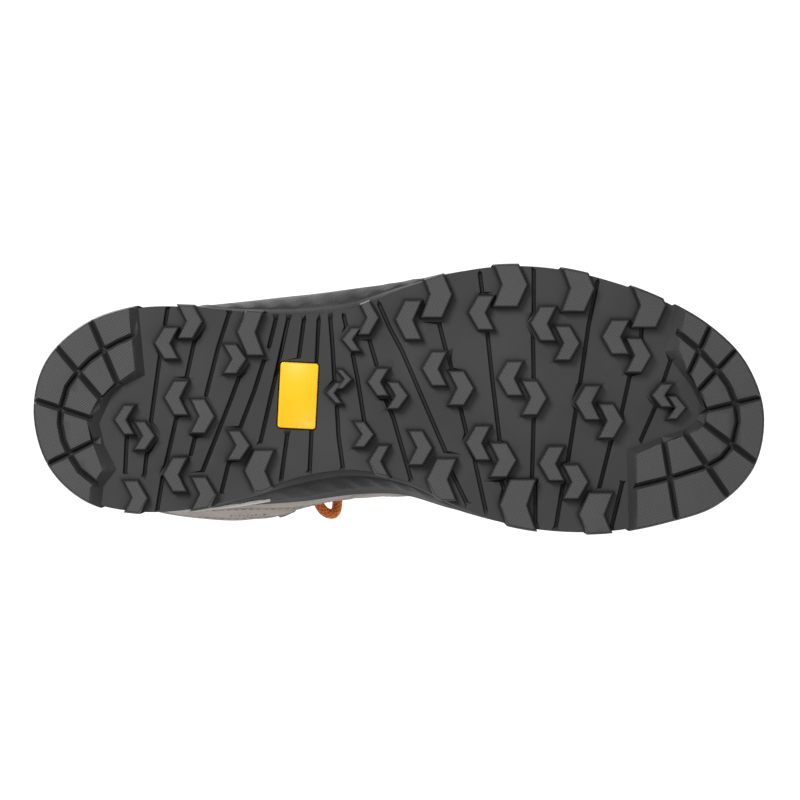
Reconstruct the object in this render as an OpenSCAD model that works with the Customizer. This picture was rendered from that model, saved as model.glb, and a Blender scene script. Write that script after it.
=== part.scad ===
// Right hiking boot, mid cut, with a lugged rubber outsole.
// X runs from heel to toe, Y towards the inner (medial) side, Z up. The ground is z = 0.

/* [Sole] */
// Length of the tread, heel to toe
sole_len = 300; // [260:5:340]
// Width of the tread across the ball
ball_w = 110; // [95:1:130]
// Depth of the lugs below the rubber plate
lug_h = 4.5; // [3:0.5:6]
// Thickness of the rubber plate over the lugs
plate_h = 3.5; // [2.5:0.5:5]
// Thickness of the midsole under the heel
heel_stack = 22; // [16:1:30]
// Thickness of the midsole under the ball
ball_stack = 11; // [8:1:18]
// How far the toe lifts off the ground
toe_spring = 12; // [6:1:18]
// Width of the sipes in the heel and toe blocks
sipe_w = 2; // [1:0.1:3]

/* [Badge] */
// Length of the blank inlay under the arch
badge_len = 26.4; // [20:0.2:32]
// Width of the blank inlay
badge_w = 15; // [12:0.2:18]
// Thickness of the blank inlay
badge_t = 2; // [1.2:0.1:2.6]

/* [Upper] */
// Height of the collar at the back, above the ground
collar_h = 152; // [130:1:185]
// Thickness of the suede panels
upper_t = 2; // [1.4:0.1:2.6]
// Thickness of the rubber rand and of the heel cap
rand_t = 2; // [1.4:0.1:3]
// Height of the rand round the toe, above the midsole
toe_rand_h = 30; // [18:1:38]
// Height of the rand on the outer side
outer_rand_h = 20; // [10:1:30]
// Height of the rand on the inner side
inner_rand_h = 11; // [6:1:20]
// Thickness of the lining
lining_t = 1.2; // [0.8:0.1:2]
// Thickness of the toe puff and heel counter
stiffener_t = 1.6; // [1:0.1:2]
// Thickness of the foam in the collar
collar_foam_t = 7; // [4:0.5:9]
// Thickness of the foam in the tongue
tongue_foam_t = 4.5; // [3:0.5:7]

/* [Inside] */
// Thickness of the lasting board
board_t = 2; // [1.5:0.1:3]
// Thickness of the removable footbed
footbed_t = 4.5; // [3:0.5:6]
// Height of the footbed's rim above its top
rim_h = 4; // [2:0.5:7]
// Thickness of the shank plate
shank_t = 2.4; // [1.5:0.1:3]
// Length of the shank plate
shank_len = 96; // [70:1:110]
// Width of the shank plate
shank_w = 24; // [16:1:30]

/* [Lacing] */
// Diameter of the lace
lace_d = 4.4; // [3:0.1:5.5]
// Width of each webbing lace loop
loop_w = 7.4; // [6:0.5:12]
// Width of each metal lace hook
hook_w = 6.5; // [5:0.5:9]
// Width of the pull loops at the heel and the tongue
pull_w = 14; // [10:1:20]
// Height of the pull loop at the heel
pull_h = 26; // [16:1:34]

/* [Hidden] */

glue = 0.3;            // gap at every glued or sewn face
seam = 0.012;          // half of the gap between two panels, as a share of one column
sx = sole_len / 300;   // the outlines are drawn for a tread of 300 by 110
sy = ball_w / 110;

// ---- curves ----

function clamp01(t) = min(1, max(0, t));
function smooth(t) = let(c = clamp01(t)) c * c * (3 - 2 * c);
function mix(a, b, t) = a + (b - a) * t;
function unit(v) = v / norm(v);
function spline4(a, b, c, d, t) =
    0.5 * (2 * b + (c - a) * t + (2 * a - 5 * b + 4 * c - d) * t * t + (3 * b - a - 3 * c + d) * t * t * t);
function wrap(i) = ((i % 32) + 32) % 32;
// A closed curve through 32 points
function around(points, u) =
    let(i = floor(u), p = [for (k = [-1:2]) points[wrap(i + k)]])
    spline4(p[0], p[1], p[2], p[3], u - i);
// An open curve through points, held level at its ends
function along(points, u) =
    let(n = len(points) - 1, i = min(n - 1, max(0, floor(u))), p = [for (k = [-1:2]) points[min(n, max(0, i + k))]])
    spline4(p[0], p[1], p[2], p[3], u - i);

// ---- the outline of the tread, and the foot of the upper on the midsole ----
// Both start at the heel, go round the outer side to the toe and come back on the inner side,
// so that point 16 is the toe and points u and 32 - u face each other.

TREAD = [
    [-150, 6], [-145, -14.8], [-129, -30], [-108, -37], [-85.5, -37.5], [-63.5, -35.5], [-41.5, -34.6], [-19.5, -37],
    [1, -45], [22, -51.4], [43.5, -54.3], [65.5, -53], [87, -48], [107.5, -40.5], [127, -29.5], [142, -14.5],
    [149.5, 6], [145.6, 28], [130.3, 43.5], [109.3, 50.6], [87.4, 54.7], [65, 54.9], [43, 51.5], [22, 43.7],
    [2, 34], [-19.7, 29.5], [-41.7, 32.5], [-62.8, 40], [-84.3, 45.4], [-106.7, 46.8], [-128.3, 42.1], [-144, 27.5]
];
FOOT = [
    [-143, 5.5], [-138.5, -12], [-124.5, -25], [-105.5, -31.5], [-84.5, -34], [-63.5, -36], [-42, -38.5], [-20, -41.5],
    [1, -44.5], [21.5, -47.5], [42.5, -49.5], [63.5, -48.5], [84, -44], [103, -37], [120.5, -27], [134.5, -12.5],
    [142, 6], [138.5, 25], [125, 38.5], [106, 45.5], [85.5, 49], [64, 49.5], [43, 47], [22.5, 42],
    [2, 34.6], [-19, 34.1], [-40.5, 38], [-62, 40], [-83.5, 41.5], [-104.5, 41], [-124, 36], [-138, 23.5]
];

function scaled(p) = [p[0] * sx, p[1] * sy];
function outline(points, u) = scaled(around(points, u));
// The same outline moved outwards by d
function grown(points, u, d) =
    let(t = outline(points, u + 0.05) - outline(points, u - 0.05))
    outline(points, u) + d * [t[1], -t[0]] / norm(t);

// ---- heights along the sole ----

function ground(x) =
    let(q = x / sx)
    3 * pow(max(0, (-125 - q) / 25), 2)
    + 2.5 * pow(sin(180 * clamp01((q + 85) / 80)), 2)
    + toe_spring * pow(max(0, (q - 60) / 90), 1.8);
function plate_under(x) = ground(x) + lug_h;
function plate_top(x) = plate_under(x) + plate_h;
function feather(x) = plate_top(x) + mix(heel_stack, ball_stack, smooth((x / sx + 95) / 120));

// ---- the outer face of the upper ----
// Every column of the upper is a cubic curve from the foot outline up to the collar, or up to the ridge of the vamp.

heel_feather = feather(-143 * sx);
sz = (collar_h - heel_feather) / (152 - 30);
function lifted(p) = [p[0] * sx, p[1] * sy, heel_feather + (p[2] - 30) * sz];

// The collar's edge, from the middle of the heel round to the middle of the front
COLLAR = [
    [-137, 0, 152], [-133, 17, 151], [-121, 30, 147.5], [-104, 38, 143], [-85, 41.5, 141], [-66, 42, 144],
    [-46, 36, 151], [-30, 0, 160]
];
collar_mid = 9;        // the shaft's middle line
// The ridge of the instep and the vamp, from the front of the collar down to the toe
RIDGE = [
    [-30, 9, 160], [-13, 8.5, 137.5], [6, 8, 119], [27, 7.5, 105], [49, 7, 94.5], [70, 7, 87],
    [88, 7, 81.5], [101, 7.5, 77], [108, 8, 74], [111, 8, 72.5]
];
// Columns 0 to 16 of both sides: how far the wall bulges low down, how high it stays upright,
// how far it leans at the collar, how flat it meets the ridge, and whether it ends at the collar (0) or the ridge (1)
BULGE_OUTER = [8, 8, 7, 6, 6, 7, 8, 9, 7, 5, 3, 3, 3, 3, 3, 3, 3];
BULGE_INNER = [8, 8, 7, 7, 8, 10, 14, 24, 20, 10, 5, 3, 3, 3, 3, 3, 3];
UPRIGHT = [.38, .38, .38, .38, .38, .38, .38, .4, .42, .45, .5, .52, .54, .55, .56, .56, .56];
LEAN = [-4, -3, 0, 2, 2, 2, 2, 0, 0, 0, 0, 0, 0, 0, 0, 0, 0];
FLAT = [.4, .4, .4, .4, .4, .4, .5, .57, .6, .62, .62, .62, .62, .62, .62, .6, .6];
TO_RIDGE = [0, 0, 0, 0, 0, 0, .25, 1, 1, 1, 1, 1, 1, 1, 1, 1, 1];

// u folded to one side: 0 at the heel, 16 at the toe
function folded(u) = let(w = u - 32 * floor(u / 32)) w <= 16 ? w : 32 - w;
function inner_side(u) = u - 32 * floor(u / 32) > 16;
function ridge(w) = lifted(along(RIDGE, w - 7));
function ridge_slope(w) =
    let(a = ridge(min(15.9, max(7.1, w)) - 0.1), b = ridge(min(15.9, max(7.1, w)) + 0.1))
    (b[2] - a[2]) / (b[0] - a[0]);
function collar_point(i, side) =
    let(k = i < 0 ? -i : i > 7 ? 14 - i : i, s = i < 0 || i > 7 ? -side : side, p = COLLAR[k])
    [p[0], collar_mid + s * p[1], p[2]];
function collar(w, side) =
    let(i = min(6, floor(w)))
    lifted(spline4(collar_point(i - 1, side), collar_point(i, side), collar_point(i + 1, side), collar_point(i + 2, side), w - i));
function column_end(u) =
    let(w = folded(u))
    w > 7 ? ridge(w) : collar(w, inner_side(u) ? 1 : -1);
// The four control points of column u
function column(u) =
    let(
        w = folded(u),
        foot = outline(FOOT, u),
        out = grown(FOOT, u, 1) - foot,
        base = [foot[0], foot[1], feather(foot[0]) + glue],
        end = column_end(u),
        rise = end[2] - base[2],
        bulge = along(inner_side(u) ? BULGE_INNER : BULGE_OUTER, w),
        low = base + [out[0] * bulge, out[1] * bulge, along(UPRIGHT, w) * rise],
        lean = along(LEAN, w),
        at_collar = end + [out[0] * lean, out[1] * lean, -0.36 * rise],
        reach = along(FLAT, w) * (foot - [end[0], end[1]]),
        at_ridge = end + [reach[0], reach[1], ridge_slope(w) * reach[0]]
    )
    [base, low, mix(at_collar, at_ridge, clamp01(along(TO_RIDGE, w))), end];
function on_column(c, t) =
    let(s = 1 - t) s * s * s * c[0] + 3 * s * s * t * c[1] + 3 * s * t * t * c[2] + t * t * t * c[3];
function face(u, t) = on_column(column(u), t);
function face_normal(u, t) =
    let(w = folded(u))
    t > 0.999 && w >= 7 ? unit([-ridge_slope(w), 0, 1]) :
    let(
        tt = min(t, 0.99),
        across = face(u + 0.02, tt) - face(u - 0.02, tt),
        c = column(u),
        up = on_column(c, min(1, tt + 0.01)) - on_column(c, max(0, tt - 0.01))
    )
    unit(cross(across, up));
// A point d outside the outer face
function skin(u, t, d) = face(u, t) + d * face_normal(u, t);
// How far up column u a height above the midsole lies
function rise_to(u, h, lo = 0, hi = 1, n = 12) =
    let(m = (lo + hi) / 2, c = column(u))
    n == 0 ? m : on_column(c, m)[2] - c[0][2] < h ? rise_to(u, h, m, hi, n - 1) : rise_to(u, h, lo, m, n - 1);

// ---- solids from grids of points ----

function flat_list(rows) = [for (row = rows) for (p = row) p];
function quad(a, b, c, d) = [[a, b, c], [a, c, d]];
// A wall between an outer and an inner grid. Its ends stay open where the rows meet each other (ring) or themselves (fold).
module wall(outer, inner, ring = false, fold = false) {
    n = len(outer);
    m = len(outer[0]);
    base = n * m;
    function id(i, j) = (i % n) * m + j;
    last = ring ? n - 1 : n - 2;
    skins = [for (i = [0:last]) for (j = [0:m - 2]) each concat(
        quad(id(i, j), id(i, j + 1), id(i + 1, j + 1), id(i + 1, j)),
        quad(base + id(i, j), base + id(i + 1, j), base + id(i + 1, j + 1), base + id(i, j + 1)))];
    edges = [for (i = [0:last]) each concat(
        quad(id(i, 0), id(i + 1, 0), base + id(i + 1, 0), base + id(i, 0)),
        quad(id(i, m - 1), base + id(i, m - 1), base + id(i + 1, m - 1), id(i + 1, m - 1)))];
    ends = [for (j = [0:m - 2]) each concat(
        ring ? [] : quad(id(0, j), base + id(0, j), base + id(0, j + 1), id(0, j + 1)),
        ring || fold ? [] : quad(id(n - 1, j), id(n - 1, j + 1), base + id(n - 1, j + 1), base + id(n - 1, j)))];
    polyhedron(concat(flat_list(outer), flat_list(inner)), concat(skins, edges, ends));
}
// A panel of one side, between columns, from t = low(u) to t = high(u), outside offsets inner(u, t) and outer(u, t)
module panel(us, low, high, inner, outer, rows, ring = false) {
    function grid(d) = [for (u = us) [for (j = [0:rows]) let(t = mix(low(u), high(u), j / rows)) skin(u, t, d(u, t))]];
    wall(grid(outer), grid(inner), ring = ring);
}
// A panel that lies over the ridge, from t = edge(s) on the outer side to the same t on the inner side
module saddle(ss, edge, inner, outer, rows, fold = false) {
    function at(s, j, d) =
        let(k = min(j, rows - j), t = mix(edge(s), 1, 2 * k / rows))
        skin(j <= rows / 2 ? s : 32 - s, t, d(s, t));
    function grid(d) = [for (s = ss) [for (j = [0:rows]) at(s, j, d)]];
    wall(grid(outer), grid(inner), fold = fold);
}
// A solid through closed rings of an even number of points, from the lowest ring up
module ring_loft(rings) {
    n = len(rings[0]);
    top = (len(rings) - 1) * n;
    sides = [for (k = [0:len(rings) - 2]) for (i = [0:n - 1])
        each quad(k * n + i, (k + 1) * n + i, (k + 1) * n + (i + 1) % n, k * n + (i + 1) % n)];
    lid = [for (i = [0:n / 2 - 1]) each concat(
        i == 0 ? [] : [[n - i, n - i - 1, i]],
        i == n / 2 - 1 ? [] : [[i, n - i - 1, i + 1]])];
    polyhedron(flat_list(rings), concat(
        sides,
        [for (f = lid) [f[0], f[2], f[1]]],
        [for (f = lid) [top + f[0], top + f[1], top + f[2]]]));
}
// A straight piece with its side view given in x and z, and its width along y about the middle line
module side_view(width, middle = 0) {
    translate([0, middle + width / 2, 0]) rotate([90, 0, 0]) linear_extrude(width) children();
}
// Everything between two heights that change along x
module band(xs, low, high) {
    side_view(400)
        polygon(concat([for (x = xs) [x, low(x)]], [for (i = [len(xs) - 1:-1:0]) [xs[i], high(xs[i])]]));
}
// A ribbon of a set width along a line of points
module ribbon(points, width) {
    n = len(points) - 1;
    function side(i) = let(t = unit(points[min(n, i + 1)] - points[max(0, i - 1)])) width / 2 * [-t[1], t[0]];
    polygon(concat([for (i = [0:n]) points[i] + side(i)], [for (i = [n:-1:0]) points[i] - side(i)]));
}
// A line of points with its corners cut
function rounded(p) =
    concat([p[0]], [for (i = [0:len(p) - 2]) each [mix(p[i], p[i + 1], 0.25), mix(p[i], p[i + 1], 0.75)]], [p[len(p) - 1]]);
// A round cord along points; across is a direction that the cord never takes
module cord(points, d, across, sides = 8) {
    line = rounded(points);
    m = len(line) - 1;
    rings = [for (i = [0:m])
        let(
            t = unit(line[min(m, i + 1)] - line[max(0, i - 1)]),
            a = unit(cross(t, across)),
            b = cross(t, a)
        )
        [for (k = [0:sides - 1]) line[i] + d / 2 * (cos(360 * k / sides) * a + sin(360 * k / sides) * b)]];
    ring_loft(rings);
}

// ---- the sole ----

BAND_X = concat([-152 * sx], [for (q = [-147:4:-1]) q * sx], [0, 60 * sx], [for (q = [65:5:150]) q * sx], [153 * sx]);
function tread_ring(d = 0) = [for (u = [0:0.5:31.5]) grown(TREAD, u, d)];
EDGE_LUG = 1;          // how far the lugs at the edge stand out past the plate

// The chevron lugs: x and y of the tip, the way it points (1 is towards the toe), height and width of its arms
LUGS = [
    // heel
    [-80.5, -31.5, 1, 15, 7.2], [-101.5, -22.5, -1, 14, 7], [-97.5, 0, -1, 15, 7], [-75.5, 7.5, 1, 15, 7],
    [-118, 9, -1, 13, 5.5], [-100, 15.5, 1, 12.6, 5.7], [-98, 31.5, -1, 15, 7], [-75, 39.5, 1, 15, 7.2],
    [-103, 41, 1, 15, 7],
    // waist
    [-67.5, -27, -1, 20, 8], [-62.5, -16, 1, 13, 6.5], [-61, 19.5, 1, 13, 6.3], [-64.5, 30, -1, 18, 9],
    [-8, -33, 1, 15, 5.6], [-24.5, -24, -1, 10.6, 5], [-19, -7.7, 1, 9, 4], [-31, -2, -1, 9.6, 4],
    [-14, -6.5, -1, 12.3, 6], [4, -1, 1, 12, 5.8], [-10, 15, 1, 11.3, 5.6], [-13.5, 26, -1, 14, 5.6],
    // ball
    [22, -42.5, 1, 20, 9.6], [-2.5, -32, -1, 17, 7.8], [53, -46.5, 1, 19, 11], [27.5, -35, -1, 15, 7.6],
    [8.5, -12, -1, 15, 7.2], [31, -4, 1, 15, 7.5], [39.5, -8, -1, 15, 7.5], [61, 0, 1, 15, 7.3],
    [26.5, 18.5, -1, 15, 7.1], [48.5, 25.5, 1, 15, 8], [14, 20.5, 1, 15, 7], [10.5, 33.5, -1, 18, 9],
    [40.5, 44, -1, 22, 11.6], [53, -30.5, -1, 15, 7.6], [74.5, -22.5, 1, 15, 7.2], [80.5, -45, 1, 20, 10.4],
    [56.5, 27, -1, 15, 7.5], [78, 34.5, 1, 15, 7.4],
    // toe
    [82.5, -25, -1, 15, 8.2], [110, -38, 1, 19, 11], [104, -17.5, 1, 15, 7.4], [71.5, 2, -1, 15, 7.3],
    [92.5, 9.5, 1, 15, 7.3], [103, -1, -1, 10.5, 5.9], [118.5, 4, 1, 10.5, 5], [73, 48, -1, 19, 10.9]
];
LUG_POINT = 4.4;       // how far a lug's tip stands ahead of its arms
// The inner edges of the blocks at the heel and the toe, and the sipes in them
HEEL_EDGE = [[-108, -60], [-109, -30], [-109, -10], [-117, -5.5], [-124, 1], [-127, 10], [-124, 20], [-119, 30], [-127, 37], [-127, 60], [-170, 60], [-170, -60]];
TOE_EDGE = [[115, -60], [115, -37], [113, -18], [117, -10], [123, -2], [126, 6], [122, 13], [109, 17], [96, 22], [96, 60], [170, 60], [170, -60]];
HEEL_SIPES = [
    [[-109, -26], [-121, -20], [-132, -11], [-138, -1], [-139.5, 10], [-136, 23], [-124, 36]],
    [[-129, -36], [-115, -4]], [[-144, -24], [-122, 2]], [[-153, 0], [-124, 10]], [[-148, 29], [-123, 17]]
];
TOE_SIPES = [
    [[112, -28], [123, -20], [133, -9], [138, 2], [139, 12], [134, 23], [126, 28], [111, 33], [94, 37]],
    [[129, -32], [117, -6]], [[142, -24], [121, -1]], [[153, -2], [123, 6]], [[150, 29], [122, 9]],
    [[138, 44], [115, 11]], [[115, 54], [108, 13]]
];
BADGE_AT = [-42 * sx, -1 * sy];
BADGE_TURN = 3;

module at_scale() { scale([sx, sy, 1]) children(); }
module lug(x, y, way, height, width) {
    h = height / 2;
    translate([x * sx, y * sy]) polygon([for (p = [
        [0, 0], [-LUG_POINT, -h], [-LUG_POINT - width, -h], [-width - 0.6, 0], [-LUG_POINT - width, h], [-LUG_POINT, h]
    ]) [way * p[0], p[1]]]);
}
module badge_shape(grow) {
    translate(BADGE_AT) rotate(BADGE_TURN)
        square([badge_w + 2 * grow, badge_len + 2 * grow], center = true);
}
module outsole() color("#3f3f42") {
    slit = lug_h - 0.8;
    difference() {
        intersection() {
            union() {
                linear_extrude(80) polygon(tread_ring());
                intersection() {
                    linear_extrude(80) polygon(tread_ring(EDGE_LUG));
                    linear_extrude(90) for (l = LUGS) lug(l[0], l[1], l[2], l[3], l[4]);
                }
            }
            band(BAND_X, function(x) ground(x), function(x) plate_top(x));
        }
        // what is open between the lugs and the blocks
        difference() {
            band(BAND_X, function(x) ground(x) - 5, function(x) plate_under(x));
            linear_extrude(80) {
                for (l = LUGS) lug(l[0], l[1], l[2], l[3], l[4]);
                polygon([for (p = HEEL_EDGE) scaled(p)]);
                polygon([for (p = TOE_EDGE) scaled(p)]);
            }
        }
        intersection() {
            linear_extrude(80) for (s = concat(HEEL_SIPES, TOE_SIPES)) ribbon([for (p = s) scaled(p)], sipe_w);
            band(BAND_X, function(x) ground(x) - 5, function(x) ground(x) + slit);
        }
        // the recess for the inlay
        translate([0, 0, -1]) linear_extrude(1 + plate_under(BADGE_AT[0]) + badge_t + 0.1) badge_shape(glue);
    }
}
module sole_badge() color("#f2a900") {
    top = plate_under(BADGE_AT[0]) + badge_t - glue;
    translate([0, 0, top - badge_t]) linear_extrude(badge_t) badge_shape(0);
}

// The midsole's wall: h runs from the rubber plate (0) up to the upper (1), d is outwards
upper_edge = rand_t + glue + 1.2;   // how far the midsole's top stands out past the foot of the upper
function sole_wall(u, h, d = 0) =
    let(a = grown(TREAD, u, d - 0.5), b = grown(FOOT, u, upper_edge + d), p = mix(a, b, h) )
    [p[0], p[1], mix(plate_top(a[0]) + glue, feather(b[0]) - glue, h)];
module shank_shape(grow) {
    xs = [for (k = [0:8]) (-20 + shank_len * (k / 8 - 0.5) + grow * (k / 4 - 1))];
    side_view(shank_w + 2 * grow, collar_mid - 3) polygon(concat(
        [for (x = xs) [x, feather(x) - glue - shank_t - grow]],
        [for (i = [8:-1:0]) [xs[i], feather(xs[i]) - glue + 10 * grow]]));
}
module midsole() color("#4a4a4d") {
    difference() {
        ring_loft([for (h = [0, 0.5, 1]) [for (u = [0:0.5:31.5]) sole_wall(u, h, h == 0.5 ? 0.8 : 0)]]);
        shank_shape(glue);
    }
}
// A thin inlaid line on the midsole's inner side, from under the heel to the arch
module midsole_accent() {
    function rows(d) = [for (u = [26.6:0.25:28.6]) [for (h = [0.62, 0.72]) sole_wall(u, h, d)]];
    color("#e8e8e6") wall(rows(1.9), rows(0.95));
}
module shank() color("#2b2b2d") shank_shape(0);

// ---- inside the boot ----

// How far the inside of the lining lies inside the outer face, low down
skin_to_inside = upper_t + stiffener_t + lining_t + 2 * glue;
board_in = skin_to_inside + 1;
function above_midsole(p, h) = [p[0], p[1], feather(p[0]) + glue + h];
module lasting_board() color("#c9b68c") {
    ring_loft([for (h = [0, board_t]) [for (u = [0:0.5:31.5]) above_midsole(grown(FOOT, u, -board_in), h)]]);
}
module footbed() color("#59595c") {
    low = board_t + glue;
    // rows of the footbed: distance from the lining, and height above the board
    rows = [[0.5, 0], [0.5, footbed_t + rim_h], [2.5, footbed_t + rim_h], [8, footbed_t]];
    ring_loft([for (r = rows) [for (u = [0:0.5:31.5])
        above_midsole(grown(FOOT, u, -board_in - r[0] - 0.4), low + r[1])]]);
}

// ---- the upper ----

// The throat, where the two quarters end beside the tongue: t on a column that ends in the ridge
THROAT = [
    [6.3, 1], [6.5, 0.95], [6.75, 0.88], [7, 0.83], [7.4, 0.795], [8, 0.775], [9, 0.775], [10, 0.785], [10.7, 0.8], [11.3, 0.83]
];
EYESTAY_EDGE = [
    [5.5, 1], [5.7, 0.9], [6, 0.8], [6.4, 0.71], [6.8, 0.65], [7.3, 0.61], [8, 0.59], [9, 0.59], [10, 0.6], [10.8, 0.62], [11.3, 0.66]
];
throat_end = 11;       // the column where the vamp begins
function on_list(list, w) =
    let(k = [for (i = [0:len(list) - 2]) if (w >= list[i][0]) i], i = len(k) == 0 ? 0 : k[len(k) - 1])
    w <= list[0][0] ? list[0][1] : mix(list[i][1], list[i + 1][1], clamp01((w - list[i][0]) / (list[i + 1][0] - list[i][0])));
BINDING_T = 0.985;     // where the panels stop under the collar's binding
panel_top = function(u) min(BINDING_T, on_list(THROAT, folded(u)));

// How much room there is between the panels and the lining: a stiffener low down, foam near the collar
function foam_share(u, t) = smooth((t - 0.56) / 0.16) * (1 - smooth((folded(u) - 5.2) / 0.9));
function room(u, t) = mix(stiffener_t, collar_foam_t, foam_share(u, t));
none = function(u, t) 0;
panel_inner = function(u, t) -upper_t;
room_outer = function(u, t) -upper_t - glue;
room_inner = function(u, t) -upper_t - glue - room(u, t);
lining_outer = function(u, t) room_inner(u, t) - glue;
lining_inner = function(u, t) lining_outer(u, t) - lining_t;
over_inner = function(u, t) glue;
over_outer = function(u, t) glue + rand_t;
at_foot = function(u) 0;

LATERAL = [for (u = [0:0.5:throat_end]) u == 0 ? seam : u == throat_end ? throat_end - seam : u];
MEDIAL = [for (i = [len(LATERAL) - 1:-1:0]) 32 - LATERAL[i]];
VAMP = [throat_end + seam, 11.5, 12, 12.5, 13, 13.5, 14, 14.5, 15, 15.5, 16];

module quarter_lateral() color("#35353a") panel(LATERAL, at_foot, panel_top, panel_inner, none, 12);
module quarter_medial() color("#a08d78") panel(MEDIAL, at_foot, panel_top, panel_inner, none, 12);
module vamp() color("#8d7d6c") saddle(VAMP, at_foot, panel_inner, none, 24, fold = true);
module lining_lateral() color("#77777b") panel(LATERAL, at_foot, panel_top, lining_inner, lining_outer, 12);
module lining_medial() color("#77777b") panel(MEDIAL, at_foot, panel_top, lining_inner, lining_outer, 12);
module vamp_lining() color("#77777b") saddle(VAMP, at_foot, lining_inner, lining_outer, 24, fold = true);

module toe_puff() color("#d8d3c4")
    saddle([for (s = [13.4, 13.8, 14.2, 14.6, 15, 15.5, 16]) s], at_foot, room_inner, room_outer, 20, fold = true);
module heel_counter() color("#d8d3c4")
    panel([-3.5:0.5:3.5], at_foot, function(u) 0.5 - 0.02 * abs(u), room_inner, room_outer, 8);
module collar_foam() color("#5c5c60")
    panel([-5.5:0.5:5.5], function(u) 0.6, function(u) BINDING_T - 0.01, room_inner, room_outer, 6);

function rand_height(u) =
    let(w = folded(u))
    mix(inner_side(u) ? inner_rand_h : outer_rand_h, toe_rand_h, smooth((w - 10.5) / 3.5));
rand_top = function(u) rise_to(u, rand_height(u));
module rand() color("#2f2f32")
    panel([0:0.5:31.5], at_foot, rand_top, over_inner, over_outer, 4, ring = true);
module heel_cap() color("#2f2f32")
    panel([-3:0.5:3], function(u) rand_top(u) + seam, function(u) 0.46 - 0.012 * u * u, over_inner, over_outer, 5);

module collar_binding() {
    ts = [BINDING_T + 0.004, 1, 1.006];
    function rows(side) = [for (u = [-6.2:0.4:6.2]) [for (k = [0:2])
        let(deep = -lining_inner(u, 1), mid = -deep / 2, half = deep / 2 + (k == 2 ? -0.8 : 0.6))
        skin(u, ts[k], mid + side * half)]];
    color("#232326") wall(rows(1), rows(-1));
}

// The eyestays: a strip between the throat and EYESTAY_EDGE, on top of the quarters
module eyestay(side) {
    ws = side < 0 ? [5.6:0.4:11.2] : [11.2:-0.4:5.6];
    function row(w, d) =
        [for (j = [0:4]) let(t = mix(on_list(EYESTAY_EDGE, w), on_list(THROAT, w), j / 4)) skin(side < 0 ? w : 32 - w, min(t, BINDING_T), d)];
    wall([for (w = ws) row(w, glue + rand_t)], [for (w = ws) row(w, glue)]);
}
module eyestay_lateral() color("#26262a") eyestay(-1);
module eyestay_medial() color("#26262a") eyestay(1);

// ---- the tongue ----

// The tongue follows the ridge from under the vamp to the collar, and goes on straight above it
TONGUE = concat([for (k = [3:-1:1]) [7, k / 3]], [for (s = [7:0.5:11.5]) [s, 0]]);
tongue_rise = [-17, 0, 26];           // from the top of the ridge to the tongue's upper edge
tongue_under = -skin_to_inside - 0.9; // the tongue's outer face where the quarters or the vamp lie over it
tongue_stand = 4.8;                   // how far the middle of the tongue stands up between the eyestays
function tongue_point(k, j, d) =
    let(
        s = k[0], up = k[1],
        q = (j - 6) / 6,
        t = 1 - abs(q) * mix(0.36, 0.22, smooth(2 * up)) * (1 - 0.25 * smooth((s - 9) / 3)),
        stand = tongue_stand * smooth((10.7 - s) / 0.8) * smooth((0.55 - abs(q)) / 0.35),
        p = skin(q <= 0 ? s : 32 - s, t, tongue_under + stand - 4.5 * smooth(2 * up))
    )
    p + d * face_normal(s, 1) + up * [tongue_rise[0] * sx, 0, tongue_rise[2] * sz];
module tongue_layer(outer, inner) {
    function rows(d) = [for (k = TONGUE) [for (j = [0:12]) tongue_point(k, j, d)]];
    wall(rows(outer), rows(inner));
}
module tongue() color("#4b4b50") tongue_layer(0, -1.4);
module tongue_foam() color("#6d6d70") tongue_layer(-1.4 - glue, -1.4 - glue - tongue_foam_t);
module tongue_lining() color("#77777b") tongue_layer(-1.4 - 2 * glue - tongue_foam_t, -1.4 - 2 * glue - tongue_foam_t - lining_t);

// ---- the lacing ----

// Where each pair of loops and hooks sits: w of its column. The first STITCHED ones are webbing loops, the rest hooks.
STATIONS = [10.6, 10, 9.4, 8.8, 8.2, 7.65, 7.1, 6.35];
STITCHED = 5;
lace_gap = 0.5;
hole_r = lace_d / 2 + lace_gap;
web_t = 1.2;
station_base = glue + rand_t + glue;             // the face that the loops and hooks stand on
hole_height = station_base + web_t + hole_r;     // from the outer face to the middle of the lace
function station_t(w) = mix(on_list(EYESTAY_EDGE, w), on_list(THROAT, w), 0.62);
function side_u(side, w) = side < 0 ? w : 32 - w;
function station(side, w, d) = skin(side_u(side, w), station_t(w), d);
// Unit vectors at a station: up along the eyestay, out of the leather, and away from the throat
function station_up(side, w) = unit(station(side, w - 0.1, 0) - station(side, w + 0.1, 0));
function station_out(side, w) =
    let(n = face_normal(side_u(side, w), station_t(w)), a = station_up(side, w))
    unit(n - (n * a) * a);
// Places children drawn with x away from the throat, y out of the leather and z up along the eyestay
module at_station(side, w) {
    a = station_up(side, w);
    n = station_out(side, w);
    o = station(side, w, 0);
    x = cross(n, a);
    multmatrix([[x[0], n[0], a[0], o[0]], [x[1], n[1], a[1], o[1]], [x[2], n[2], a[2], o[2]]])
        mirror([side < 0 ? 0 : 1, 0, 0]) children();
}
// A webbing loop: a tab on the leather that turns up round the lace
module lace_loop() {
    translate([0, 0, -loop_w / 2]) linear_extrude(loop_w) difference() {
        union() {
            translate([0, hole_height]) circle(hole_r + web_t, $fn = 24);
            translate([-1, station_base]) square([11, web_t * 1.4]);
        }
        translate([0, hole_height]) circle(hole_r, $fn = 24);
    }
}
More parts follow.
